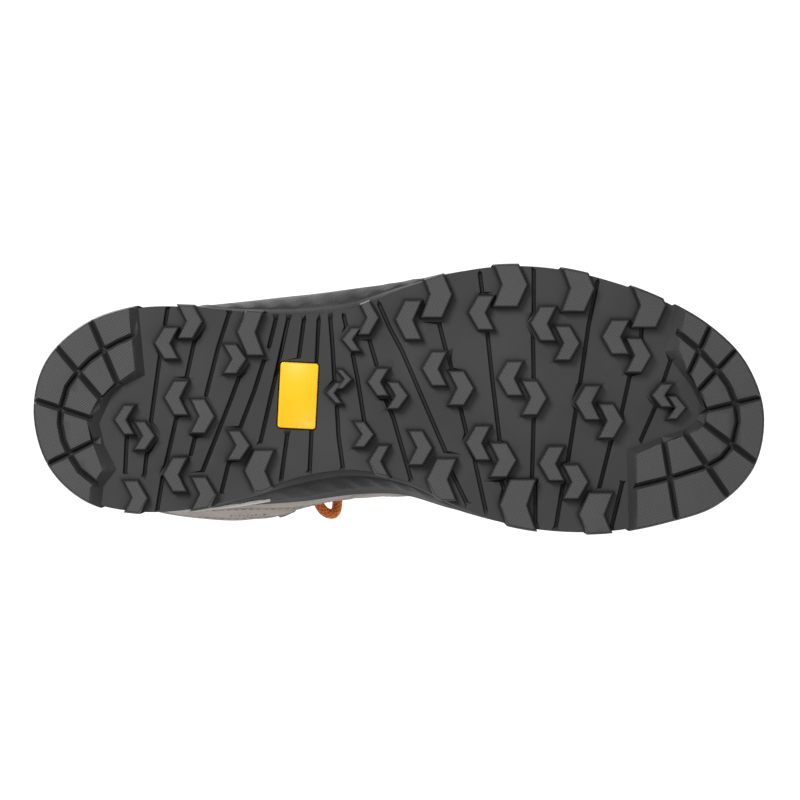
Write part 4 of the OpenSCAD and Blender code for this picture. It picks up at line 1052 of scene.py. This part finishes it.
def make_rand():
    """The rubber rand: two faint ribs under its top edge, and a textured toe bumper."""
    def outer(u, t):
        share = t / np.maximum(1e-6, rand_edge(u))
        ribs = 0.30 * np.exp(-((share - 0.80) / 0.045)**2) + 0.22 * np.exp(-((share - 0.62) / 0.04)**2)
        toe = smooth((folded(u) - 12) / 1.5)
        bumper = toe * 0.45 * np.clip(np.sin(share * 34) * 2, 0, 1) * smooth((0.55 - share) / 0.1)
        return GLUE + RAND_T + ribs + bumper
    piece = shell("rand_band", (0, 32), constant(0), rand_edge, outer, offset(GLUE), RAND, step=1.2, roll=1.0,
                  closed=True, open_low=True)
    finished(piece, ["rand"])
    cap = shell("heel_cap_moulding", (-3, 3), lambda u: rand_edge(u) + SEAM, lambda u: 0.46 - 0.012 * u * u,
                lambda u, t: GLUE + RAND_T + 0.25 * np.exp(-((np.abs(u) - 1.6 - 1.2 * (0.46 - t)) / 0.09)**2),
                offset(GLUE), RAND, step=1.3)
    finished(cap, ["heel_cap"])


def accent_low(u):
    s = (u - 26.6) / 2.0
    return 0.62 + 0.05 * np.abs(2 * s - 1)**2


def accent_high(u):
    s = (u - 26.6) / 2.0
    return accent_low(u) + 0.02 + 0.09 * np.sqrt(np.clip(1 - (2 * s - 1)**2, 0, 1))


# ---- the panels of the upper ----

# Embossed double seams on both quarters, as points of column and height
SEAM_LINES = [
    [(1.0, .50), (2.2, .40), (3.6, .30), (5.0, .27), (6.6, .33), (8.0, .46)],
    [(3.3, .08), (4.4, .17), (5.8, .23), (7.6, .27), (9.4, .36), (10.6, .50)],
    [(5.5, .05), (6.6, .11), (8.2, .16), (9.8, .22), (10.9, .30)],
    [(0.8, .74), (2.2, .70), (3.8, .66), (5.2, .62), (6.2, .60)],
]


# Three more on the inner quarter, fanning out of the arch
ARCH_SEAMS = [
    [(7.2, .05), (7.0, .16), (6.5, .28), (5.7, .38)],
    [(8.3, .05), (8.1, .18), (7.5, .32), (6.9, .43)],
    [(9.4, .05), (9.2, .20), (8.7, .34), (8.2, .45)],
]


def seams_of(side):
    return SEAM_LINES if side < 0 else SEAM_LINES[:1] + SEAM_LINES[3:] + ARCH_SEAMS


def seam_curve(line, side, count=90):
    """Columns and heights along a seam."""
    p = along(np.array(line), np.linspace(0, len(line) - 1, count))
    return np.where(side < 0, p[:, 0], 32 - p[:, 0]), p[:, 1]


def seam_distance(u, t, side):
    """Distance in millimetres of a place on the quarter from the nearest seam."""
    w = folded(u)
    best = np.full(np.shape(u), 50.0)
    for line in seams_of(side):
        p = along(np.array(line), np.linspace(0, len(line) - 1, 40)) * (21.5, 118)
        here = np.stack([w * 21.5, t * 118], -1).reshape(-1, 2)
        best = np.minimum(best, depth_in_line(here, p).reshape(np.shape(u)))
    return best


def make_quarter(side):
    """One quarter: seams pressed in as double lines, a soft swell between them, and flex creases at the ankle."""
    def outer(u, t):
        d = seam_distance(u, t, side)
        pressed = -0.75 * (np.exp(-((d - 1.8) / 0.6)**2)) + 0.45 * np.exp(-(d / 0.9)**2)
        w = folded(u)
        crease = 0.35 * np.exp(-((t - 0.47 - 0.02 * np.sin(3 * w)) / 0.018)**2) * smooth((w - 4.5) / 1.5) * smooth((9 - w) / 1.5)
        collar_swell = 0.9 * foam_share(u, t) * np.sin(np.clip((t - 0.66) / 0.31, 0, 1) * np.pi)**0.5 * smooth((0.965 - t) / 0.02)
        free = smooth((on_list(EYESTAY_EDGE, w) - 0.03 - t) / 0.03) * smooth((t - rand_edge(u) - 0.02) / 0.03)
        free = np.where((w < 3.2) & (t < 0.5), 0, free)
        return free * (pressed - crease) + np.maximum(collar_swell, 0) * (1 - 0.8 * (w < 0.8))
    ends = (SEAM, THROAT_END - SEAM) if side < 0 else (32 - THROAT_END + SEAM, 32 - SEAM)
    name, node = ("quarter_outer", "quarter_lateral") if side < 0 else ("quarter_inner", "quarter_medial")
    piece = shell(name, ends, constant(0), panel_top, outer, offset(-UPPER_T), DARK_SUEDE if side < 0 else SUEDE,
                  step=1.15, roll=0.9, open_low=True)
    finished(piece, [node])


def saddle(w, t, d):
    """The vamp's surface: t from 0 up the outer side to 1 at the ridge, and on down the inner side to 2."""
    w, t, d = np.broadcast_arrays(np.asarray(w, float), np.asarray(t, float), np.asarray(d, float))
    return skin(np.where(t <= 1, w, 32 - w), np.where(t <= 1, t, 2 - t), d)


def make_vamp():
    """The forefoot's suede, with flex creases across it behind the toe bumper."""
    def outer(w, t):
        crest = np.exp(-((t - 1) / 0.5)**2)
        bend = -0.40 * np.exp(-((w - 12.1 - 0.10 * np.sin(4 * t)) / 0.07)**2) - 0.30 * np.exp(-((w - 12.55) / 0.06)**2)
        return bend * crest
    grid_t = np.linspace(0, 2, 181)
    grid_w = np.concatenate([THROAT_END + SEAM + np.array([0, .01, .03, .06]), np.arange(11.15, 15.999, 0.06), [16.0]])
    w, t = np.repeat(grid_w[:, None], len(grid_t), 1), np.repeat(grid_t[None], len(grid_w), 0)
    full = rolled((w - THROAT_END - SEAM) * 20, 1.0)
    a, b = outer(w, t), -UPPER_T
    half, centre = (a - b) / 2 * full, (a + b) / 2
    n, m = w.shape
    index = np.arange(n * m).reshape(n, m)
    q = np.stack([index[:-1, :-1], index[1:, :-1], index[1:, 1:], index[:-1, 1:]], -1).reshape(-1, 4)
    faces = np.concatenate([q, q[:, ::-1] + n * m])
    for k in (0, m - 1):
        s = np.stack([index[:-1, k], index[:-1, k] + n * m, index[1:, k] + n * m, index[1:, k]], -1)
        faces = np.concatenate([faces, s if k == 0 else s[:, ::-1]])
    points = np.concatenate([saddle(w, t, centre + half).reshape(-1, 3), saddle(w, t, centre - half).reshape(-1, 3)])
    uv = np.tile(np.stack([w * 20, t * 60], -1).reshape(-1, 2), (2, 1))
    piece = new_object("vamp_suede", points, faces, SUEDE, uv, {"rim": np.tile((1 - full).ravel(), 2)})
    finished(merged(piece, 0.00001), ["vamp"])


def eyestay_low(u):
    return on_list(EYESTAY_EDGE, folded(u))


def make_eyestays():
    for side in (-1, 1):
        ends = (5.62, 11.2) if side < 0 else (32 - 11.2, 32 - 5.62)
        piece = shell("eyestay_outer" if side < 0 else "eyestay_inner", ends, eyestay_low,
                      lambda u: np.minimum(BINDING_T, on_list(THROAT, folded(u))), offset(GLUE + RAND_T - 0.1), offset(GLUE),
                      LEATHER, step=1.2, roll=1.0)
        finished(piece, ["eyestay_lateral" if side < 0 else "eyestay_medial"])


def make_linings():
    """Mesh linings, quilted in rows where they cover the collar's foam."""
    def inner(u, t):
        quilt = foam_share(u, t) * (0.9 - 1.5 * np.abs(np.sin((t - 0.62) * 24))**6)
        return room_inner(u, t) - GLUE - LINING_T - np.maximum(0, quilt)
    for side in (-1, 1):
        ends = (SEAM, THROAT_END - SEAM) if side < 0 else (32 - THROAT_END + SEAM, 32 - SEAM)
        piece = shell("lining_outer" if side < 0 else "lining_inner", ends, constant(0), panel_top,
                      lambda u, t: room_inner(u, t) - GLUE, inner, LINING, step=2.2, roll=0.6, open_low=True)
        finished(piece, ["lining_lateral" if side < 0 else "lining_medial"])
    padding = shell("collar_padding", (-5.5, 5.5), constant(0.6), constant(BINDING_T - 0.012), offset(-UPPER_T - GLUE),
                    lambda u, t: room_inner(u, t) + 0.05, PADDING, step=2.5, roll=2.0)
    finished(padding, ["collar_foam"])


def make_binding():
    """A rolled binding over the collar's edge."""
    us = np.linspace(-6.2, 6.2, 200)
    deep = -(room_inner(us, np.ones_like(us)) - GLUE - LINING_T)
    angle = np.linspace(0, 2 * np.pi, 20, endpoint=False)
    rings = []
    for a in angle:
        d = -deep / 2 + np.cos(a) * (deep / 2 + 0.75)
        t = BINDING_T + 0.004 + (0.013 + 0.010 * np.abs(np.cos(a))**4) * (np.sin(a) > -0.2) * np.maximum(0, np.sin(a))
        rings.append(skin(us, t, d) + np.array([0, 0, 1.0]) * max(0, math.sin(a)) * 1.4)
    p = np.stack(rings, 1)
    s = np.concatenate([[0], np.cumsum(np.linalg.norm(np.diff(p[:, 0], axis=0), axis=-1))])
    n, m = p.shape[:2]
    index = np.arange(n * m).reshape(n, m)
    index = np.concatenate([index, index[:, :1]], 1)
    q = np.stack([index[:-1, :-1], index[1:, :-1], index[1:, 1:], index[:-1, 1:]], -1).reshape(-1, 4)
    faces = [tuple(f) for f in q] + [tuple(index[0, :-1]), tuple(index[-1, :-1][::-1])]
    uv = np.stack([np.repeat(s[:, None], m, 1), np.repeat((angle * 4)[None], n, 0)], -1).reshape(-1, 2)
    piece = new_object("binding_roll", p.reshape(-1, 3), faces, BINDING, uv)
    shape = bmesh.new()
    shape.from_mesh(piece.data)
    bmesh.ops.recalc_face_normals(shape, faces=shape.faces)
    shape.to_mesh(piece.data)
    shape.free()
    finished(piece, ["collar_binding"])


# ---- the tongue ----

TONGUE_RISE = np.array([-17.0, 0, 26.0 * LIFT])
TONGUE_UNDER = -(UPPER_T + STIFFENER_T + LINING_T + 2 * GLUE) - 0.9
TONGUE_STAND = 4.8


def tongue_point(r, q, d):
    """r from 0 at the top edge, 3 at the collar, to 12 under the vamp; q across it, -1 to 1."""
    r, q, d = np.broadcast_arrays(np.asarray(r, float), np.asarray(q, float), np.asarray(d, float))
    up = np.clip(1 - r / 3, 0, 1)
    s = 7 + np.maximum(0, r - 3) * 0.5
    t = 1 - np.abs(q) * mix(0.36, 0.22, smooth(2 * up)) * (1 - 0.25 * smooth((s - 9) / 3))
    stand = TONGUE_STAND * smooth((10.7 - s) / 0.8) * smooth((0.55 - np.abs(q)) / 0.35)
    p = skin(np.where(q <= 0, s, 32 - s), t, TONGUE_UNDER + stand - 4.5 * smooth(2 * up))
    return p + d[..., None] * face_normal(s, np.ones_like(s)) + up[..., None] * TONGUE_RISE


def tongue_layer(name, node, outer, inner, material, rows=90, columns=56):
    js = np.linspace(-1, 1, columns)
    rs = np.linspace(0, 12, rows)
    r, q = np.repeat(rs[:, None], columns, 1), np.repeat(js[None], rows, 0)
    edge = rolled((1 - np.abs(q)) * 26, 1.6) * rolled(r * 9.5, 1.6)
    a, b = outer(r, q), inner(r, q)
    half, centre = (a - b) / 2 * edge, (a + b) / 2
    grids = [tongue_point(r, q, centre + half), tongue_point(r, q, centre - half)]
    index = np.arange(rows * columns).reshape(rows, columns)
    f = np.stack([index[:-1, :-1], index[1:, :-1], index[1:, 1:], index[:-1, 1:]], -1).reshape(-1, 4)
    faces = np.concatenate([f, f[:, ::-1] + rows * columns])
    end = np.stack([index[-1, :-1], index[-1, :-1] + rows * columns, index[-1, 1:] + rows * columns, index[-1, 1:]], -1)
    faces = np.concatenate([faces, end])
    uv = np.tile(np.stack([q * 30, r * 10], -1).reshape(-1, 2), (2, 1))
    piece = new_object(name, np.concatenate([g.reshape(-1, 3) for g in grids]), faces, material, uv)
    piece = merged(piece, 0.00001)
    shape = bmesh.new()
    shape.from_mesh(piece.data)
    bmesh.ops.recalc_face_normals(shape, faces=shape.faces)
    shape.to_mesh(piece.data)
    shape.free()
    return finished(piece, [node])


def make_tongue():
    """A padded tongue with three sewn channels across it."""
    def outer(r, q):
        channel = sum(np.exp(-((r - c) / 0.10)**2) for c in (2.3, 4.6, 6.6))
        return 0.9 * (1 - 0.9 * np.clip(channel, 0, 1)) * smooth((0.42 - np.abs(q)) / 0.2) * smooth((8.5 - r) / 1.5)
    face_piece = tongue_layer("tongue_face", "tongue", outer, lambda r, q: np.full(r.shape, -1.4), TONGUE)
    pad = tongue_layer("tongue_padding", "tongue_foam", lambda r, q: np.full(r.shape, -1.4 - GLUE),
                       lambda r, q: np.full(r.shape, -1.4 - GLUE - 4.5), PADDING, 60, 40)
    tongue_layer("tongue_back", "tongue_lining", lambda r, q: np.full(r.shape, -1.4 - 2 * GLUE - 4.5),
                 lambda r, q: -1.4 - 2 * GLUE - 4.5 - LINING_T - 0.5 * np.sin(r * 3)**2, LINING, 80, 40)


def make_tongue_binding():
    """A rolled edge round the tongue's free end, over the ends of its three layers."""
    side = np.linspace(5.2, 0.35, 44)
    across = np.linspace(-0.93, 0.93, 40)
    r = np.concatenate([side, np.full(40, 0.12), side[::-1]])
    q = np.concatenate([np.full(44, -0.985), across, np.full(44, 0.985)])
    centre = resampled(corner_cut(tongue_point(r, q, -3.7), 2), 1.4)
    t = unit(np.gradient(centre, axis=0))
    n = np.repeat(face_normal(7.0, 1.0)[None], len(centre), 0)
    n = unit(n - t * np.sum(n * t, -1, keepdims=True))
    out = np.cross(n, t)
    angle = np.linspace(0, 2 * np.pi, 18, endpoint=False)
    ring = np.cos(angle)[None, :, None] * 2.3 * out[:, None] + np.sin(angle)[None, :, None] * 4.45 * n[:, None]
    p = centre[:, None] + ring
    rows, columns = p.shape[:2]
    index = np.arange(rows * columns).reshape(rows, columns)
    index = np.concatenate([index, index[:, :1]], 1)
    quads = np.stack([index[:-1, :-1], index[1:, :-1], index[1:, 1:], index[:-1, 1:]], -1).reshape(-1, 4)
    faces = [tuple(f) for f in quads] + [tuple(index[0, :-1]), tuple(index[-1, :-1][::-1])]
    s = np.arange(rows) * 1.4
    uv = np.stack([np.repeat(s[:, None], columns, 1), np.repeat((angle * 3.4)[None], rows, 0)], -1).reshape(-1, 2)
    piece = new_object("tongue_binding", p.reshape(-1, 3), faces, BINDING, uv)
    shape = bmesh.new()
    shape.from_mesh(piece.data)
    bmesh.ops.recalc_face_normals(shape, faces=shape.faces)
    shape.to_mesh(piece.data)
    shape.free()
    finished(piece)


# ---- the lacing ----

LACE_D = 4.4
LOOP_W, HOOK_W = 7.4, 6.5
STATIONS = [10.6, 10, 9.4, 8.8, 8.2, 7.65, 7.1, 6.35]
STITCHED = 5
HOLE_HEIGHT = GLUE + RAND_T + GLUE + 1.2 + LACE_D / 2 + 0.5
HOOK_LIFT = 1.6
KNOT = np.array([-29.5, 9.0, HEEL_FEATHER + (165 - 30) * LIFT])
KNOT_R = 6.0


def station_u(side, w):
    return w if side < 0 else 32 - w


def station_t(w):
    return float(mix(on_list(EYESTAY_EDGE, w), on_list(THROAT, w), 0.62))


def station(side, w, d=0.0):
    return skin(station_u(side, w), station_t(w), d)


def station_up(side, w):
    return unit(station(side, w - 0.1) - station(side, w + 0.1))


def station_out(side, w):
    n, a = face_normal(station_u(side, w), station_t(w)), station_up(side, w)
    return unit(n - (n @ a) * a)


def through(side, i):
    """The lace's way through a loop or hook."""
    w = STATIONS[i]
    a, n = station_up(side, w), station_out(side, w)
    p = station(side, w) + (HOLE_HEIGHT + (0 if i < STITCHED else HOOK_LIFT)) * n
    reach = LOOP_W / 2 + 1.4 if i < STITCHED else HOOK_W / 2 + 0.8
    line = [p + k * a for k in (-reach - 2.5, -reach, reach, reach + 2.5)]
    if i == len(STATIONS) - 1:
        line += [p + (reach + 4) * a + 6 * n, p + reach * a + 10.5 * n]
    return line


def crossing(i, over):
    w = (STATIONS[i] + STATIONS[i + 1]) / 2 + 0.36 + 0.085 * i
    return skin(w, 1.0, 5.4 + (LACE_D + 0.8 if over > 0 else 0))


def strand(side):
    line = []
    for i in range(len(STATIONS)):
        line += through(side, i)
        if i < len(STATIONS) - 1:
            line.append(crossing(i, side * (1 if i % 2 == 0 else -1)))
        side = -side
    return line


def make_lace():
    """One lace from the knot, down through every loop, and back up to the knot, and the knot itself."""
    bar = skin(STATIONS[0] + 0.75, 1.0, 5.4)
    ends = [KNOT + (0, s * (KNOT_R + 1.6), -1.5) for s in (-1, 1)]
    line = [ends[0]] + strand(1)[::-1] + [bar] + strand(-1) + [ends[1]]
    line = resampled(corner_cut(line, 3), 1.3)
    points, faces, uv = tube(line, LACE_D / 2, sides=14)
    finished(new_object("lace_cord", points, faces, LACE, uv), ["lace"])
    t = np.linspace(0, 2 * np.pi, 160, endpoint=False)
    wrap = np.stack([np.sin(t) + 2 * np.sin(2 * t), 1.25 * (np.cos(t) - 2 * np.cos(2 * t)), -np.sin(3 * t)], -1)
    wrap = wrap * (1.35, 1.5, 1.9) + KNOT
    points, faces, uv = tube(wrap, LACE_D / 2 * 0.92, sides=14, closed=True)
    finished(new_object("lace_knot_wraps", points, faces, LACE, uv), ["lace_knot"])


# ---- the footbed ----


def make_footbed():
    """The insole: a raised rim, a heel cup and a slight crown under the arch."""
    us = np.arange(0, 32, 0.125)
    inward = UPPER_T + STIFFENER_T + LINING_T + 2 * GLUE + 1 + 0.4
    rim = grown(FOOT, us, -inward - 0.5)
    spine = np.stack([np.clip(rim[:, 0], -104, 96), np.full(len(us), 6.0)], -1)
    rows = [(0.0, 0.0), (0.0, 7.6), (0.012, 8.3), (0.04, 8.5), (0.07, 8.3), (0.10, 7.6), (0.16, 6.1), (0.24, 5.0),
            (0.34, 4.6), (0.5, 4.5), (0.7, 4.5), (0.9, 4.5), (1.0, 4.5)]
    rings = []
    for s, h in rows:
        p = mix(rim, spine, s)
        arch = 1.2 * np.exp(-((p[:, 0] + 30) / 30)**2 - ((p[:, 1] - 26) / 14)**2) * (s > 0.05)
        rings.append(np.column_stack([p, feather(p[:, 0]) + GLUE + 2 + GLUE + h + arch]))
    low = np.column_stack([spine, feather(spine[:, 0]) + GLUE + 2 + GLUE])
    p = np.concatenate([low] + rings)
    n, m = len(rings) + 1, len(us)
    index = np.arange(n * m).reshape(n, m)
    index = np.concatenate([index, index[:, :1]], 1)
    q = np.stack([index[:-1, :-1], index[:-1, 1:], index[1:, 1:], index[1:, :-1]], -1).reshape(-1, 4)
    piece = new_object("insole", p, q, FOOTBED, p[:, :2])
    piece = merged(piece, 0.00001)
    finished(piece, ["footbed"], body="footbed")


# ---- stitches, perforations and bar tacks ----


def stitch_tree():
    """Stitches along every line of a mesh of edges."""
    tree, given, out = new_group(
        "stitches",
        [("Lines", "NodeSocketGeometry", None), ("Pitch", "NodeSocketFloat", 0.003), ("Length", "NodeSocketFloat", 0.0021),
         ("Thickness", "NodeSocketFloat", 0.00035), ("Thread", "NodeSocketMaterial", None)],
        [("Geometry", "NodeSocketGeometry")], "GeometryNodeTree")
    curve = add_node(tree, "GeometryNodeMeshToCurve", sockets={0: given.outputs["Lines"]})
    points = add_node(tree, "GeometryNodeCurveToPoints", mode="LENGTH", sockets={"Curve": curve.outputs[0]})
    tree.links.new(given.outputs["Pitch"], points.inputs["Length"])
    bead = add_node(tree, "GeometryNodeMeshUVSphere", sockets={"Segments": 7, "Rings": 5, "Radius": 0.5})
    size = add_node(tree, "ShaderNodeCombineXYZ")
    tree.links.new(given.outputs["Thickness"], size.inputs[0])
    tree.links.new(given.outputs["Thickness"], size.inputs[1])
    tree.links.new(given.outputs["Length"], size.inputs[2])
    placed = add_node(tree, "GeometryNodeInstanceOnPoints", sockets={
        "Points": points.outputs["Points"], "Instance": bead.outputs["Mesh"], "Rotation": points.outputs["Rotation"],
        "Scale": size.outputs[0]})
    real = add_node(tree, "GeometryNodeRealizeInstances", sockets={0: placed.outputs[0]})
    painted = add_node(tree, "GeometryNodeSetMaterial", sockets={"Geometry": real.outputs[0]})
    tree.links.new(given.outputs["Thread"], painted.inputs["Material"])
    tree.links.new(painted.outputs[0], out.inputs["Geometry"])
    return tree


def hole_tree():
    """A small dark dish at every point of a mesh, facing along its 'out' attribute."""
    tree, given, out = new_group(
        "perforations", [("Points", "NodeSocketGeometry", None), ("Radius", "NodeSocketFloat", 0.0006),
                         ("Shadow", "NodeSocketMaterial", None)], [("Geometry", "NodeSocketGeometry")], "GeometryNodeTree")
    facing = add_node(tree, "GeometryNodeInputNamedAttribute", data_type="FLOAT_VECTOR", sockets={"Name": "out"})
    turn = add_node(tree, "FunctionNodeAlignRotationToVector", axis="Z", sockets={"Vector": facing.outputs[0]})
    dish = add_node(tree, "GeometryNodeMeshCylinder", sockets={"Vertices": 10, "Radius": 1.0, "Depth": 0.5})
    placed = add_node(tree, "GeometryNodeInstanceOnPoints", sockets={
        "Points": given.outputs["Points"], "Instance": dish.outputs["Mesh"], "Rotation": turn.outputs[0],
        "Scale": given.outputs["Radius"]})
    real = add_node(tree, "GeometryNodeRealizeInstances", sockets={0: placed.outputs[0]})
    painted = add_node(tree, "GeometryNodeSetMaterial", sockets={"Geometry": real.outputs[0]})
    tree.links.new(given.outputs["Shadow"], painted.inputs["Material"])
    tree.links.new(painted.outputs[0], out.inputs["Geometry"])
    return tree


def grown_by_nodes(name, mesh, tree, inputs):
    """Runs a node tree on a mesh and keeps the result as a plain mesh."""
    seed = bpy.data.objects.new(name + "_seed", mesh)
    bpy.context.scene.collection.objects.link(seed)
    modifier = seed.modifiers.new("nodes", "NODES")
    modifier.node_group = tree
    for item in tree.interface.items_tree:
        if item.item_type == "SOCKET" and item.in_out == "INPUT" and item.name in inputs:
            modifier[item.identifier] = inputs[item.name]
    graph = bpy.context.evaluated_depsgraph_get()
    made = bpy.data.meshes.new_from_object(seed.evaluated_get(graph))
    bpy.data.objects.remove(seed)
    made.shade_smooth()
    thing = bpy.data.objects.new(name, made)
    bpy.context.scene.collection.objects.link(thing)
    return thing


STITCH_TREE, HOLE_TREE = stitch_tree(), hole_tree()


def line_mesh(name, lines):
    points, edges = [], []
    for line in lines:
        base = len(points)
        points += (np.asarray(line) * MM).tolist()
        edges += [(base + k, base + k + 1) for k in range(len(line) - 1)]
    mesh = bpy.data.meshes.new(name)
    mesh.from_pydata(points, edges, [])
    return mesh


def make_stitches(name, lines, thread, pitch=0.0031, length=0.0022, thickness=0.00055):
    thing = grown_by_nodes(name, line_mesh(name, lines), STITCH_TREE,
                           {"Pitch": pitch, "Length": length, "Thickness": thickness, "Thread": thread})
    return finished(thing)


def border_line(side, share, d, ws):
    """A line between the eyestay's two borders."""
    u = np.array([station_u(side, w) for w in ws])
    t = mix(on_list(EYESTAY_EDGE, ws), np.minimum(on_list(THROAT, ws), BINDING_T), share)
    return skin(u, t, d)


def make_sewing():
    lines_dark, lines_taupe = [], []
    ws = np.linspace(5.9, 11.1, 90)
    for side in (-1, 1):
        for share in (0.10, 0.20, 0.93):
            lines_dark.append(border_line(side, share, GLUE + RAND_T - 0.02, ws))
        for line in seams_of(side):
            u, t = seam_curve(line, side)
            w = folded(u)
            keep = (t > rand_edge(u) + 0.03) & (t < on_list(EYESTAY_EDGE, w) - 0.03) & ~((w < 3.3) & (t < 0.5))
            run = skin(u, t, 0.34)[keep]
            if len(run) > 4 and line not in ARCH_SEAMS:
                (lines_dark if side < 0 else lines_taupe).append(run)
    top = np.linspace(-2.8, 2.8, 60)
    lines_dark.append(skin(top, 0.445 - 0.012 * top * top, GLUE + RAND_T + 0.05))
    cross = np.linspace(0.1, 1.9, 120)
    for w in (11.14, 11.24):
        lines_taupe.append(saddle(np.full_like(cross, w), cross, 0.05))
    make_stitches("stitches_dark", lines_dark, THREAD)
    make_stitches("stitches_taupe", lines_taupe, TAUPE_THREAD)
    rim = np.linspace(-6.0, 6.0, 160)
    deep = skin(rim, BINDING_T - 0.004, 0.9)
    make_stitches("stitches_collar", [deep], THREAD, 0.0028, 0.0019)
    rs = np.linspace(0, 1, 24)
    rows = [tongue_point(np.full(24, c), -0.36 + 0.72 * rs, 0.12) for c in (2.3, 4.6, 6.6)]
    make_stitches("stitches_tongue", rows, THREAD, 0.0026, 0.0018)


def make_perforations():
    """Groups of small holes between the seams of the quarters and on the vamp."""
    places = []
    for side in (-1, 1):
        for w0, t0, columns, rows in ((6.2, .42, 6, 4), (8.6, .26, 7, 3), (2.4, .585, 6, 3), (4.6, .47, 5, 3)):
            for i in range(columns):
                for j in range(rows):
                    places.append((station_u(side, w0 + 0.17 * (i + 0.5 * (j % 2))), t0 + 0.027 * j, 0.0))
        for i in range(7):
            for j in range(4):
                places.append((station_u(side, 11.75 + 0.16 * (i + 0.5 * (j % 2))), 0.60 + 0.045 * j, 0.0))
    places = np.array(places)
    u, t = places[:, 0], places[:, 1]
    points, normals = skin(u, t, -0.10), face_normal(u, t)
    mesh = bpy.data.meshes.new("perforation points")
    mesh.from_pydata((points * MM).tolist(), [], [])
    mesh.attributes.new("out", "FLOAT_VECTOR", "POINT").data.foreach_set("vector", normals.astype(np.float32).ravel())
    finished(grown_by_nodes("perforations", mesh, HOLE_TREE, {"Radius": 0.00062, "Shadow": HOLE}))


# ---- assembly ----

CAD_FINISHES = {
    "shank": SHANK, "lasting_board": BOARD, "toe_puff": STIFFENER, "heel_counter": STIFFENER, "vamp_lining": LINING,
    "lace_loops_lateral": WEBBING, "lace_loops_medial": WEBBING, "lace_hooks_lateral": HOOKS, "lace_hooks_medial": HOOKS,
    "heel_pull_base": WEBBING, "heel_pull_loop": PULL, "tongue_pull_base": WEBBING, "tongue_pull_loop": PULL,
}

make_tread(RUBBER)
make_inlay(INLAY)
make_midsole()
make_rand()
finished(shell("accent_line", (26.62, 28.58), accent_low, accent_high, offset(1.9), offset(0.6), ACCENT, step=0.5, roll=0.35,
               surface=sole_wall), ["midsole_accent"])
make_quarter(-1)
make_quarter(1)
make_vamp()
make_eyestays()
make_linings()
make_binding()
make_tongue()
make_tongue_binding()
make_lace()
make_footbed()
make_sewing()
make_perforations()
for node_name, material in CAD_FINISHES.items():
    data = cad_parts[node_name].data
    data.materials.clear()
    data.materials.append(material)
